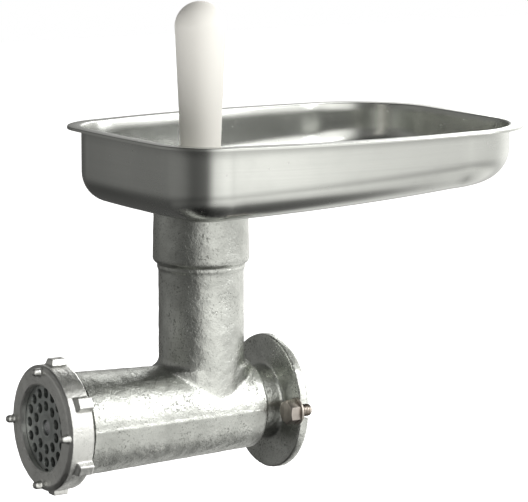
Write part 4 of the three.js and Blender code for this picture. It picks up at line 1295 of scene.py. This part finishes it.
@dataclass
class RingNut(Piece):
    """Ring nut with outside lugs and pegs on its face. Sizes are in millimetres."""

    name: ClassVar[str] = "cast_ring_nut"
    node: ClassVar[str] = "ring_nut"
    body: ClassVar[str] = "ring"
    slot: ClassVar[str] = "tinned_ring"
    finish: ClassVar[Finish] = CAST_RING

    front_x: float = -206.4
    width: float = 21.0
    radius: float = 47.8
    opening_r: float = 32.9
    lip_t: float = 4.5
    bore_r: float = 39.35
    lug_count: int = 6
    lug_r: float = 52.0
    lug_width: float = 10.0
    lug_setback: float = 6.4
    peg_count: int = 4
    peg_r: float = 3.1
    peg_length: float = 6.9
    peg_circle_r: float = 43.2
    voxel: float = 0.6

    def build(self) -> bpy.types.Object:
        """Fuses the ring, lugs and pegs, softens them as cast, and cuts the clean opening and bore.

        Returns:
            The piece's object.
        """
        shells = [self._lug().turned(360 / self.lug_count * k) for k in range(self.lug_count)]
        shells += [self._peg().turned(360 / self.peg_count * k) for k in range(self.peg_count)]
        obj = self._ring().joined(*shells).to_object(self.name)
        Workshop.cast(obj, self.voxel, 5)
        Workshop.ripple(obj, 0.14, 7.0, lambda p: 1.0 if math.hypot(p.y, p.z) > self.opening_r + 1 else 0.0)
        Workshop.combine(obj, self._bore().to_object("ring_tool"))
        Workshop.shade(obj, 40.0)
        return obj

    def _ring(self) -> Shape:
        """Returns the solid disc that the ring is cut from."""
        back = self.front_x + self.width
        shoulder = 2.6
        return revolve([
            (self.front_x, 0), (self.front_x, self.radius - shoulder - 0.6),
            (self.front_x + 0.6, self.radius - shoulder + 0.2), (self.front_x + shoulder, self.radius),
            (back - 1.2, self.radius - 0.2), (back, self.radius - 1.4), (back, 0),
        ], Axis.X, 192)

    def _lug(self) -> Shape:
        """Returns one lug at the top, with sloping flanks and a bevelled front."""
        foot, top, half = self.radius - 3, self.lug_r + 0.2, self.lug_width / 2
        x0, x1 = self.front_x + self.lug_setback, self.front_x + self.width - 0.2
        corners = [(-half - 1.6, foot), (half + 1.6, foot), (half - 0.8, top), (-half + 0.8, top)]
        bar = prism(corners, x0, x1)
        for v in bar.verts:
            if v.x < x0 + 1 and v.z > self.radius:
                v.x += 2.2
        return bar

    def _peg(self) -> Shape:
        """Returns one rounded peg on the face, at the top."""
        tip = self.front_x - self.peg_length
        dome = [(tip + self.peg_r * (1 - math.cos(a)), self.peg_r * math.sin(a))
                for a in (math.radians(d) for d in (0, 22, 44, 66, 90))]
        dome[0] = (tip, 0.0)
        return revolve([*dome, (self.front_x + 3, self.peg_r + 0.2), (self.front_x + 3, 0)],
                       Axis.X, 40).moved(z=self.peg_circle_r)

    def _bore(self) -> Shape:
        """Returns the tool for the opening in the lip and the threaded bore."""
        lip = self.front_x + self.lip_t
        return revolve([
            (self.front_x - 2, 0), (self.front_x - 2, self.opening_r + 1.2),
            (self.front_x - 0.1, self.opening_r + 1.2),
            (self.front_x + 1, self.opening_r), (lip, self.opening_r), (lip, self.bore_r),
            *self._threads(lip + 4), (self.front_x + self.width + 2, self.bore_r),
            (self.front_x + self.width + 2, 0),
        ], Axis.X, 144)

    def _threads(self, start: float) -> list[Point]:
        """Lists the bore's outline where its thread stands in.

        Args:
            start: where it starts along X.

        Returns:
            Outline points as (x, radius).
        """
        points: list[Point] = []
        for k in range(3):
            x = start + 4 * k
            points += [(x, self.bore_r), (x + 0.5, self.bore_r - 0.85), (x + 1.3, self.bore_r - 0.85),
                       (x + 1.8, self.bore_r)]
        return points


@dataclass
class HolePlate(Piece):
    """Perforated plate with rounded hole edges and a key notch. Sizes are in millimetres."""

    name: ClassVar[str] = "perforated_plate"
    node: ClassVar[str] = "hole_plate"
    body: ClassVar[str] = "plate"
    slot: ClassVar[str] = "tool_steel"
    finish: ClassVar[Finish] = PLATE_STEEL

    radius: float = 35.0
    bore_r: float = 6.0
    hole_r: float = 3.75
    rings: tuple[tuple[int, float], ...] = ((10, 16.5), (16, 26.5))
    notch_w: float = 2.6
    notch_depth: float = 3.5
    edge: float = 0.3

    def build(self) -> bpy.types.Object:
        """Fills the outline between its holes, thickens it and rounds every edge.

        Returns:
            The piece's object.
        """
        low, high = (corner.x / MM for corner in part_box(self.node))
        curve = bpy.data.curves.new(self.name, "CURVE")
        curve.dimensions = "2D"
        curve.fill_mode = "BOTH"
        curve.extrude = ((high - low) / 2 - self.edge) * MM
        curve.bevel_depth = self.edge * MM
        curve.bevel_resolution = 2
        curve.offset = -self.edge * MM
        self._loop(curve, self._outline())
        self._loop(curve, self._circle(0, 0, self.bore_r, 48))
        for count, circle in self.rings:
            for k in range(count):
                angle = math.pi / 2 + 2 * math.pi * k / count
                y, z = circle * math.cos(angle), circle * math.sin(angle)
                self._loop(curve, self._circle(y, z, self.hole_r, 36))
        drawn = bpy.data.objects.new("plate_curve", curve)
        bpy.context.scene.collection.objects.link(drawn)
        bpy.context.view_layer.update()
        mesh = bpy.data.meshes.new_from_object(drawn.evaluated_get(bpy.context.evaluated_depsgraph_get()))
        bpy.data.objects.remove(drawn)
        stand = Matrix(((0, 0, 1, (low + high) / 2 * MM), (1, 0, 0, 0), (0, 1, 0, 0), (0, 0, 0, 1)))
        mesh.transform(stand)
        mesh.name = self.name
        obj = bpy.data.objects.new(self.name, mesh)
        bpy.context.scene.collection.objects.link(obj)
        Workshop.shade(obj, 30.0)
        return obj

    @staticmethod
    def _loop(curve: bpy.types.Curve, points: Sequence[Point]) -> None:
        """Adds one closed loop of (y, z) points to the drawing.

        Args:
            curve: the drawing.
            points: (y, z) points of the loop.
        """
        spline = curve.splines.new("POLY")
        spline.points.add(len(points) - 1)
        for spot, (y, z) in zip(spline.points, points):
            spot.co = (y * MM, z * MM, 0.0, 1.0)
        spline.use_cyclic_u = True

    @staticmethod
    def _circle(y: float, z: float, radius: float, steps: int) -> list[Point]:
        """Lists the points of a circle.

        Args:
            y: place along Y.
            z: place along Z.
            radius: radius in millimetres.
            steps: number of points.

        Returns:
            The points, in order.
        """
        angles = [2 * math.pi * k / steps for k in range(steps)]
        return [(y + radius * math.cos(a), z + radius * math.sin(a)) for a in angles]

    def _outline(self) -> list[Point]:
        """Returns the plate's rim with its key notch at the bottom."""
        half = math.degrees(math.asin(self.notch_w / self.radius))
        steps = 150
        rim = [(self.radius * math.cos(a), self.radius * math.sin(a))
               for a in (math.radians(-90 + half + (360 - 2 * half) * k / steps) for k in range(steps + 1))]
        inner = -self.radius + self.notch_depth
        return [*rim, (-self.notch_w, inner), (self.notch_w, inner)]


@dataclass
class TrayPan(Piece):
    """Drawn feed tray with a flat lip, a sloping floor and a level seat round the neck.

    Sizes are in millimetres. The sheet's section is skinned round the outline. Close to the wall, the rings
    round the eye are kept to a share of the way to it, so that no two of them meet.
    """

    name: ClassVar[str] = "feed_tray"
    node: ClassVar[str] = "tray_pan"
    body: ClassVar[str] = "tray"
    slot: ClassVar[str] = "tray_stainless"
    finish: ClassVar[Finish] = SHEET

    front_x: float = -142.0
    rear_x: float = 188.0
    front_half_w: float = 107.0
    rear_half_w: float = 131.0
    front_corner_r: float = 50.0
    rear_corner_r: float = 79.0
    side_bow: float = 8.9
    front_bow: float = 1.5
    depth: float = 61.7
    slope: float = 0.06
    seat_r: float = 39.6
    seat_blend: float = 16.0
    seat_z: float = 157.3
    lip: float = 11.0
    edge_drop: float = 2.2
    sheet: float = 1.2
    foot_r: float = 24.7
    eye_x: float = -65.5
    eye_r: float = 29.35
    ring_share: float = 0.97
    ring_gain: float = 0.02
    ring_full: float = 52.9
    ring_start: float = 0.75
    spread_share: float = 0.976
    corner_steps: int = 30
    side_steps: int = 26
    foot_steps: int = 12

    def build(self) -> bpy.types.Object:
        """Skins the sheet's section round the tray's outline.

        Returns:
            The piece's object.
        """
        rim_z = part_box(self.node)[1].z / MM
        outline = self._outline()
        inward = self._inward(outline)
        rings: list[list[Vector]] = []
        for stop in self._section(rim_z):
            rings.append([self._spot(p, n, stop, rim_z) for p, n in zip(outline, inward)])
        obj = loft(rings).to_object(self.name)
        Workshop.shade(obj, 38.0)
        return obj

    def _outline(self) -> list[Vector]:
        """Returns the rim's plan outline, run anticlockwise."""
        corners = [
            (self.rear_x, self.rear_half_w, self.rear_corner_r, self.side_bow),
            (self.front_x, self.front_half_w, self.front_corner_r, self.front_bow),
            (self.front_x, -self.front_half_w, self.front_corner_r, self.side_bow),
            (self.rear_x, -self.rear_half_w, self.rear_corner_r, 0.0),
        ]
        bends: list[tuple[list[Vector], float]] = []
        for i, (x, y, radius, bow) in enumerate(corners):
            here = Vector((x, y))
            back = (Vector(corners[i - 1][:2]) - here).normalized()
            on = (Vector(corners[(i + 1) % 4][:2]) - here).normalized()
            half = math.acos(back.dot(on)) / 2
            centre = here + (back + on).normalized() * (radius / math.sin(half))
            arm = here + back * (radius / math.tan(half)) - centre
            start, sweep = math.atan2(arm.y, arm.x), math.pi - 2 * half
            angles = [start + sweep * k / self.corner_steps for k in range(self.corner_steps + 1)]
            bends.append(([centre + radius * Vector((math.cos(a), math.sin(a))) for a in angles], bow))
        out: list[Vector] = []
        for i, (points, bow) in enumerate(bends):
            out += points
            a, b = points[-1], bends[(i + 1) % 4][0][0]
            side = Vector((b.y - a.y, a.x - b.x)).normalized()
            for k in range(1, self.side_steps):
                t = k / self.side_steps
                out.append(a.lerp(b, t) + side * (bow * 4 * t * (1 - t)))
        return out

    @staticmethod
    def _inward(outline: Sequence[Vector]) -> list[Vector]:
        """Finds the inward direction at each outline point, evened out where a bend meets a side.

        Args:
            outline: rim outline points.

        Returns:
            A unit vector for each point.
        """
        count = len(outline)
        raw = []
        for i in range(count):
            along = (outline[(i + 1) % count] - outline[i - 1]).normalized()
            raw.append(Vector((-along.y, along.x)))
        for _ in range(3):
            raw = [(raw[i - 1] + raw[i] * 2 + raw[(i + 1) % count]).normalized() for i in range(count)]
        return raw

    def _section(self, rim_z: float) -> list[dict[str, float]]:
        """Returns the stops of the sheet's section, out under the floor and back inside.

        Args:
            rim_z: height of the rim.

        Returns:
            Stops with an inset from the outline, and a level, a rise above the floor, or a ring
            round the eye.
        """
        flat = self.lip + self.foot_r
        circles = (self.eye_r, 32.0, 36.0, self.seat_r, 44.0, 48.0, 52.0, self.seat_r + self.seat_blend)
        spread = (0.8, 0.6, 0.4, 0.2)
        turns = [math.pi / 2 * (1 - k / self.foot_steps) for k in range(self.foot_steps + 1)]

        def bend(radius: float) -> list[dict[str, float]]:
            """Lists the stops round the foot.

            Args:
                radius: radius in millimetres.

            Returns:
                The stops, in order.
            """
            return [{"inset": flat - radius * math.cos(a), "rise": self.foot_r - radius * math.sin(a)}
                    for a in turns]

        lip = self.lip
        under = [{"ring": c, "inset": flat, "rise": 0.0} for c in circles]
        under += [{"toward": s, "inset": flat, "rise": 0.0} for s in spread]
        over = [{**stop, "rise": self.sheet} for stop in reversed(under)]
        wall = [0.25, 0.5, 0.75]
        outer_wall = [{"inset": lip, "climb": t, "from_rise": self.foot_r} for t in wall]
        inner_wall = [{**stop, "inset": lip + self.sheet} for stop in reversed(outer_wall)]
        r = 1.6
        lower = [
            {"inset": lip, "level": rim_z - self.sheet - r},
            {"inset": lip - 0.3 * r, "level": rim_z - self.sheet - 0.3 * r},
            {"inset": lip - r, "level": rim_z - self.sheet},
            {"inset": self.sheet + 0.8, "level": rim_z - self.sheet},
            {"inset": self.sheet + 0.2, "level": rim_z - self.sheet - 0.2},
            {"inset": self.sheet, "level": rim_z - self.sheet - 0.6},
            {"inset": self.sheet, "level": rim_z - self.edge_drop},
        ]
        upper = [
            {"inset": 0.0, "level": rim_z - self.edge_drop},
            {"inset": 0.0, "level": rim_z - 1.0},
            {"inset": 0.12, "level": rim_z - 0.5},
            {"inset": 0.45, "level": rim_z - 0.12},
            {"inset": 1.0, "level": rim_z},
            {"inset": lip - r, "level": rim_z},
            {"inset": lip + self.sheet - 0.9 * r, "level": rim_z - 0.1 * r},
            {"inset": lip + self.sheet - 0.3 * r, "level": rim_z - 0.5 * r},
            {"inset": lip + self.sheet, "level": rim_z - 1.6 * r},
        ]
        inner = reversed(bend(self.foot_r - self.sheet))
        return [*under, *bend(self.foot_r), *outer_wall, *lower, *upper, *inner_wall, *inner, *over]

    def _spot(self, point: Vector, inward: Vector, stop: dict[str, float], rim_z: float) -> Vector:
        """Returns where a stop lies.

        Args:
            point: rim outline point.
            inward: inward direction there.
            stop: one stop of the section.
            rim_z: height of the rim.

        Returns:
            The place in the row frame, in millimetres.
        """
        eye = Vector((self.eye_x, 0.0))
        spot = point + inward * stop["inset"]
        reach = (spot - eye).length
        limit = self.seat_r + self.seat_blend
        if "ring" in stop:
            share = self.ring_share + self.ring_gain * (stop["ring"] / self.ring_full - self.ring_start)
            spot = eye + (spot - eye).normalized() * min(stop["ring"], reach * share)
        elif "toward" in stop:
            inner = eye + (spot - eye).normalized() * min(limit, reach * self.spread_share)
            spot = spot.lerp(inner, stop["toward"])
        if "level" in stop:
            return Vector((spot.x, spot.y, stop["level"]))
        if "climb" in stop:
            foot = self._floor(spot.x, spot.y, rim_z) + stop["from_rise"]
            return Vector((spot.x, spot.y, foot + (rim_z - 4 - foot) * stop["climb"]))
        return Vector((spot.x, spot.y, self._floor(spot.x, spot.y, rim_z) + stop["rise"]))

    def _floor(self, x: float, y: float, rim_z: float) -> float:
        """Finds the height of the floor's underside at a place.

        Args:
            x: place along X.
            y: place along Y.
            rim_z: height of the rim.

        Returns:
            The height in millimetres.
        """
        slope = rim_z - self.depth + self.slope * (x - self.front_x)
        t = min(1.0, max(0.0, (math.hypot(x - self.eye_x, y) - self.seat_r) / self.seat_blend))
        t = t * t * (3 - 2 * t)
        return self.seat_z + (slope - self.seat_z) * t


@dataclass
class TraySpigot(Piece):
    """Tube with a flange that seats the tray in the neck. Sizes are in millimetres."""

    name: ClassVar[str] = "tray_throat"
    node: ClassVar[str] = "tray_spigot"
    body: ClassVar[str] = "tray"
    slot: ClassVar[str] = "tray_stainless"
    finish: ClassVar[Finish] = SHEET

    wall: float = 1.5
    radius: float = 29.05
    flange_t: float = 1.2

    def build(self) -> bpy.types.Object:
        """Turns the tube and flange as one closed outline.

        Returns:
            The piece's object.
        """
        low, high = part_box(self.node)
        bottom, top = low.z / MM, high.z / MM
        outer = (high.x - low.x) / 2 / MM
        x = (high.x + low.x) / 2 / MM
        bore = self.radius - self.wall
        shape = revolve([
            (bottom, bore), (bottom, self.radius - 0.3), (bottom + 0.3, self.radius),
            (top - self.flange_t, self.radius), (top - self.flange_t, outer - 0.3),
            (top - self.flange_t + 0.3, outer), (top - 0.3, outer), (top, outer - 0.3),
            (top, bore + 1.4), (top - 0.4, bore + 0.4), (top - 1.4, bore),
        ], Axis.Z, 128, closed=True).moved(x)
        obj = shape.to_object(self.name)
        Workshop.shade(obj, 30.0)
        return obj


@dataclass
class Pusher(Piece):
    """Hollow plastic pusher with a stop guard and a round-headed tapered grip. Sizes are in millimetres."""

    name: ClassVar[str] = "pusher_grip"
    node: ClassVar[str] = "pusher_body"
    body: ClassVar[str] = "pusher"
    slot: ClassVar[str] = "white_plastic"
    finish: ClassVar[Finish] = WHITE_PLASTIC

    shaft_r: float = 25.4
    guard_r: float = 37.0
    guard_t: float = 5.5
    guard_z: float = 160.3
    grip_foot_r: float = 13.9
    grip_head_r: float = 19.6
    wall: float = 3.0

    def build(self) -> bpy.types.Object:
        """Turns the pusher's outline, hollow from below.

        Returns:
            The piece's object.
        """
        low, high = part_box(self.node)
        foot, top = low.z / MM, high.z / MM
        x = (high.x + low.x) / 2 / MM
        grip_z = self.guard_z + self.guard_t
        dome_z = top - self.grip_head_r
        dome = [(dome_z + self.grip_head_r * math.sin(a), self.grip_head_r * math.cos(a))
                for a in (math.radians(4 + 86 * k / 20) for k in range(20))]
        outside = rounded([
            (foot, self.shaft_r - self.wall), (foot, self.shaft_r), (self.guard_z, self.shaft_r),
            (self.guard_z, self.guard_r), (grip_z, self.guard_r), (grip_z, self.grip_foot_r + 2.5),
            (grip_z + 4, self.grip_foot_r), (dome_z, self.grip_head_r - 0.05),
        ], 1.6, 5)
        cavity = dome_z - 6
        inside = [
            (cavity, 0), (cavity - 5, self.grip_foot_r - self.wall),
            (self.guard_z, self.grip_foot_r - self.wall),
            (self.guard_z - 8, self.shaft_r - self.wall),
        ]
        profile = [*outside, *dome, (top, 0), *inside]
        obj = revolve(profile, Axis.Z, 112, closed=True).moved(x).to_object(self.name)
        Workshop.shade(obj, 42.0)
        return obj


class Side(Enum):
    """Side of the flange that a clamp screw is on: its sign along Y."""

    LEFT = 1
    RIGHT = -1


@dataclass
class FlangePiece(Piece):
    """A piece at one of the flange's two slots."""

    side: Side = Side.LEFT

    kind: ClassVar[str]
    slot: ClassVar[str] = "screw_steel"
    finish: ClassVar[Finish] = SCREW_STEEL

    @property
    def name(self) -> str:
        """Name of the piece."""
        return f"flange_{self.kind}_{self.side.name.lower()}"

    @property
    def node(self) -> str:
        """CAD node that it stands for."""
        return f"clamp_{self.kind}_{self.side.name.lower()}"

    @property
    def body(self) -> str:
        """Body that it rides on."""
        return f"{self.kind}_{self.side.name.lower()}"


@dataclass
class ClampScrew(FlangePiece):
    """Hexagon-headed clamp screw with a chamfered head. Sizes are in millimetres."""

    kind: ClassVar[str] = "screw"

    across: float = 17.0
    head_t: float = 8.5
    shank_r: float = 4.9
    thread_pitch: float = 1.5
    circle_r: float = 48.0

    def build(self) -> bpy.types.Object:
        """Cuts a hexagon by a turned chamfer, and adds the threaded shank.

        Returns:
            The piece's object.
        """
        low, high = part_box(self.node)
        front, rear = low.x / MM, high.x / MM
        seat = front + self.head_t
        corner = self.across / 2 / math.cos(math.pi / 6)
        turns = [math.radians(30 + 60 * k) for k in range(6)]
        hexagon = prism([(corner * math.cos(a), corner * math.sin(a)) for a in turns], front, seat)
        obj = hexagon.to_object(self.name)
        chamfer = revolve([
            (front - 1, 0), (front, corner - 1.9), (front + 1.3, corner + 0.3), (seat + 1, corner + 0.3),
            (seat + 1, 0),
        ], Axis.X, 96)
        Workshop.combine(obj, chamfer.to_object("chamfer_tool"), Combine.KEEP_SHARED)
        Workshop.bevel(obj, 0.25, 2, 25.0)
        Workshop.combine(obj, self._shank(seat - 0.4, rear).to_object("shank_part"), Combine.ADD)
        obj.data.transform(Matrix.Translation((0, self.side.value * self.circle_r * MM, 0)))
        Workshop.shade(obj, 30.0)
        return obj

    def _shank(self, start: float, end: float) -> Shape:
        """Makes the shank: a plain neck and thread ridges to its chamfered end.

        Args:
            start: where it starts along X.
            end: where it ends along X.

        Returns:
            The closed shape.
        """
        points: list[Point] = [(start, 0), (start, self.shank_r - 0.3)]
        x = start + 6
        points.append((x, self.shank_r - 0.3))
        while x < end - 2.5:
            points += [(x + 0.35, self.shank_r - 0.7), (x + 0.75, self.shank_r),
                       (x + 1.1, self.shank_r - 0.7)]
            x += self.thread_pitch
        points += [(end - 1, self.shank_r - 0.3), (end, self.shank_r - 1.1), (end, 0)]
        return revolve(points, Axis.X, 48)


@dataclass
class ClampWasher(FlangePiece):
    """Plain washer with rounded edges. Sizes are in millimetres."""

    kind: ClassVar[str] = "washer"

    hole_r: float = 5.25

    def build(self) -> bpy.types.Object:
        """Turns the washer's rounded section.

        Returns:
            The piece's object.
        """
        low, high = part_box(self.node)
        x0, x1 = low.x / MM, high.x / MM
        outer = (high.z - low.z) / 2 / MM
        y = (high.y + low.y) / 2 / MM
        e = 0.3
        obj = revolve([
            (x0, self.hole_r + e), (x0 + e, self.hole_r), (x1 - e, self.hole_r), (x1, self.hole_r + e),
            (x1, outer - e), (x1 - e, outer), (x0 + e, outer), (x0, outer - e),
        ], Axis.X, 72, closed=True).moved(y=y).to_object(self.name)
        Workshop.shade(obj, 50.0)
        return obj


@dataclass
class WormStud(Piece):
    """Stud at the worm's front: domed spigot, square and threaded shank. Sizes are in millimetres."""

    name: ClassVar[str] = "worm_front_stud"
    node: ClassVar[str] = "worm_stud"
    body: ClassVar[str] = "drive"
    slot: ClassVar[str] = "bright_steel"
    finish: ClassVar[Finish] = BRIGHT_STEEL

    spigot_r: float = 5.65
    square: float = 12.0
    thread_r: float = 7.0

    def build(self) -> bpy.types.Object:
        """Joins the domed spigot, the knife's square and the shank.

        Returns:
            The piece's object.
        """
        low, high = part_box(self.node)
        tip, end = low.x / MM, high.x / MM
        plate_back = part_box("hole_plate")[1].x / MM
        knife_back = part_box("knife")[1].x / MM
        dome = [(tip + 1.6 * (1 - math.cos(a)), self.spigot_r * math.sin(a))
                for a in (math.radians(d) for d in (0, 15, 30, 45, 60, 75, 90))]
        spigot = revolve([*dome, (plate_back + 2, self.spigot_r), (plate_back + 2, 0)], Axis.X, 72)
        half = self.square / 2
        corners = [(-half, -half), (half, -half), (half, half), (-half, half)]
        square = prism(corners, plate_back + 0.3, knife_back)
        shank = revolve([
            (knife_back - 2, 0), (knife_back - 2, half - 0.4), (knife_back + 1, half - 0.4),
            (knife_back + 1.8, self.thread_r), (end - 1, self.thread_r), (end, self.thread_r - 1), (end, 0),
        ], Axis.X, 64)
        obj = spigot.to_object(self.name)
        for part in (square, shank):
            Workshop.combine(obj, part.to_object("stud_part"), Combine.ADD)
        Workshop.shade(obj, 30.0)
        return obj


@dataclass
class InnerWorks:
    """Pieces whose CAD mesh is kept and which only get a finish."""

    finishes: dict[str, Finish] = field(default_factory=lambda: {
        "worm": CAST_WORM,
        "knife": PLATE_STEEL,
        "drive_tang": BRIGHT_STEEL,
        "tang_pin": BRIGHT_STEEL,
        "plate_key": BRIGHT_STEEL,
        "rear_bush": BRONZE,
        "thrust_washer": NYLON,
        "shaft_seal": RUBBER,
        "pusher_cap": WHITE_PLASTIC,
    })

    def make(self, nodes: dict[str, bpy.types.Object]) -> None:
        """Assigns each node's finish to its material slots.

        Args:
            nodes: CAD objects by node name.
        """
        for name, finish in self.finishes.items():
            obj = nodes[name]
            obj.data.materials.clear()
            obj.data.materials.append(finish.material())
            LOG.info("%s: CAD mesh kept, finish %s", name, finish.name)


# ---------------------------------------------------------------- studio


@dataclass(frozen=True)
class Panel:
    """One soft panel light. Lengths are in metres.

    Attributes:
        name: light name.
        place: where it stands.
        size: width and height.
        power: watts.
    """

    name: str
    place: tuple[float, float, float]
    size: tuple[float, float]
    power: float


@dataclass
class Studio:
    """Camera, pale floor and soft light. Lengths are in metres."""

    target: tuple[float, float, float] = (-0.00838, 0.0, 0.11863)
    azimuth: float = -31.92
    elevation: float = 8.89
    distance: float = 2.4
    lens: float = 210.02
    sensor: float = 36.0
    floor_z: float = -0.3
    floor_r: float = 6.0
    floor_tone: float = 0.93
    floor_roughness: float = 0.9
    floor_glow: float = 0.85
    side_stops: tuple[Point, ...] = (
        (0.0, 0.17), (0.2, 0.075), (0.42, 0.1), (0.61, 0.8), (0.8, 0.95), (1.0, 0.6))
    rise_stops: tuple[Point, ...] = (
        (0.0, 0.04), (0.07, 0.1), (0.14, 0.55), (0.21, 0.72), (0.29, 0.48), (0.4, 0.85), (0.72, 1.0),
        (0.9, 0.34), (1.0, 0.2))
    room_tint: tuple[float, float, float] = (1.0, 0.995, 0.97)
    room_strength: float = 1.75
    panels: tuple[Panel, ...] = (
        Panel("key_right", (1.7, -1.7, 1.2), (0.8, 1.6), 20.0),
        Panel("top_strip", (0.4, -1.8, 1.8), (1.6, 0.4), 7.0),
        Panel("back_right", (1.6, 1.4, 1.2), (0.8, 1.6), 12.0),
    )

    def make(self) -> None:
        """Places the camera, the floor, the surroundings and the lights."""
        self._camera()
        self._floor()
        self._surroundings()
        for panel in self.panels:
            self._light(panel)
        LOG.info("studio: camera, floor and lights placed")

    def _camera(self) -> None:
        """Adds the camera and makes it the scene's own."""
        a, e = math.radians(self.azimuth), math.radians(self.elevation)
        back = Vector((math.sin(a) * math.cos(e), -math.cos(a) * math.cos(e), math.sin(e)))
        data = bpy.data.cameras.new("studio_camera")
        data.lens = self.lens
        data.sensor_width = self.sensor
        data.sensor_fit = "HORIZONTAL"
        data.clip_end = 50.0
        camera = bpy.data.objects.new("studio_camera", data)
        camera.location = Vector(self.target) + back * self.distance
        camera.rotation_euler = (-back).to_track_quat("-Z", "Y").to_euler()
        bpy.context.scene.collection.objects.link(camera)
        bpy.context.scene.camera = camera

    def _floor(self) -> None:
        """Adds the pale floor."""
        r = self.floor_r / MM
        shape = Shape([Vector((x, y, self.floor_z / MM)) for x, y in ((-r, -r), (r, -r), (r, r), (-r, r))],
                      [(0, 1, 2, 3)])
        floor = shape.to_object("studio_floor", smooth=False)
        mat = bpy.data.materials.new("pale_floor")
        mat.use_nodes = True
        shader = mat.node_tree.nodes["Principled BSDF"]
        shader.inputs["Base Color"].default_value = (self.floor_tone, self.floor_tone, self.floor_tone, 1)
        shader.inputs["Roughness"].default_value = self.floor_roughness
        shader.inputs["Emission Color"].default_value = (1, 1, 1, 1)
        shader.inputs["Emission Strength"].default_value = self.floor_glow
        floor.data.materials.append(mat)
        floor.visible_glossy = False

    def _surroundings(self) -> None:
        """Sets a white room that darkens towards the object's outlet side in reflections."""
        world = bpy.data.worlds.new("studio_room")
        bpy.context.scene.world = world
        world.use_nodes = True
        tree = world.node_tree
        tree.nodes.clear()
        w = Wiring(tree)
        output = w.add("ShaderNodeOutputWorld")
        direction = w.add("ShaderNodeTexCoord").outputs["Generated"]
        a = math.radians(self.azimuth)
        right = w.add("ShaderNodeVectorMath", operation="DOT_PRODUCT")
        w.feed(right.inputs[0], direction)
        right.inputs[1].default_value = (math.cos(a), math.sin(a), 0.0)
        split = w.add("ShaderNodeSeparateXYZ")
        w.feed(split.inputs[0], direction)
        side = w.stops(self._to_unit(w, right.outputs["Value"]), self.side_stops)
        rise = w.stops(self._to_unit(w, split.outputs[2]), self.rise_stops)
        level = w.math("MULTIPLY", side, rise)
        room = w.add("ShaderNodeBackground")
        grey = w.add("ShaderNodeCombineColor")
        for socket, tint in zip(grey.inputs, self.room_tint):
            w.feed(socket, w.math("MULTIPLY", level, tint))
        w.feed(room.inputs["Color"], grey.outputs[0])
        room.inputs["Strength"].default_value = self.room_strength
        plain = w.add("ShaderNodeBackground")
        plain.inputs["Color"].default_value = (1, 1, 1, 1)
        plain.inputs["Strength"].default_value = 1.0
        pick = w.add("ShaderNodeMixShader")
        w.feed(pick.inputs[0], w.add("ShaderNodeLightPath").outputs["Is Camera Ray"])
        w.feed(pick.inputs[1], room.outputs[0])
        w.feed(pick.inputs[2], plain.outputs[0])
        w.feed(output.inputs[0], pick.outputs[0])

    @staticmethod
    def _to_unit(w: Wiring, value: bpy.types.NodeSocket) -> bpy.types.NodeSocket:
        """Maps a value from -1 to 1 onto 0 to 1.

        Args:
            w: wiring of the tree.
            value: socket to map.

        Returns:
            The mapped value.
        """
        mapped = w.math("MULTIPLY_ADD", value, 0.5)
        mapped.node.inputs[2].default_value = 0.5
        return mapped

    def _light(self, panel: Panel) -> None:
        """Adds one soft panel light that faces the object.

        Args:
            panel: the panel to add.
        """
        data = bpy.data.lights.new(panel.name, "AREA")
        data.shape = "RECTANGLE"
        data.size, data.size_y = panel.size
        data.energy = panel.power
        light = bpy.data.objects.new(panel.name, data)
        light.location = panel.place
        facing = Vector(self.target) - Vector(panel.place)
        light.rotation_euler = facing.to_track_quat("-Z", "Y").to_euler()
        bpy.context.scene.collection.objects.link(light)


def main() -> None:
    """Builds every sub-assembly in order, then the studio."""
    logging.basicConfig(level=logging.INFO, format="%(name)s: %(message)s")
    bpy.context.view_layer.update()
    scene = bpy.context.scene
    scene.view_settings.view_transform = "Standard"
    pieces: list[Piece] = [
        HeadCasting(),
        RingNut(),
        HolePlate(),
        WormStud(),
        TrayPan(),
        TraySpigot(),
        Pusher(),
    ]
    for side in Side:
        pieces += [ClampWasher(side=side), ClampScrew(side=side)]
    for piece in pieces:
        piece.make()
    InnerWorks().make(frame["nodes"])
    Studio().make()


if __name__ == "__main__":
    main()
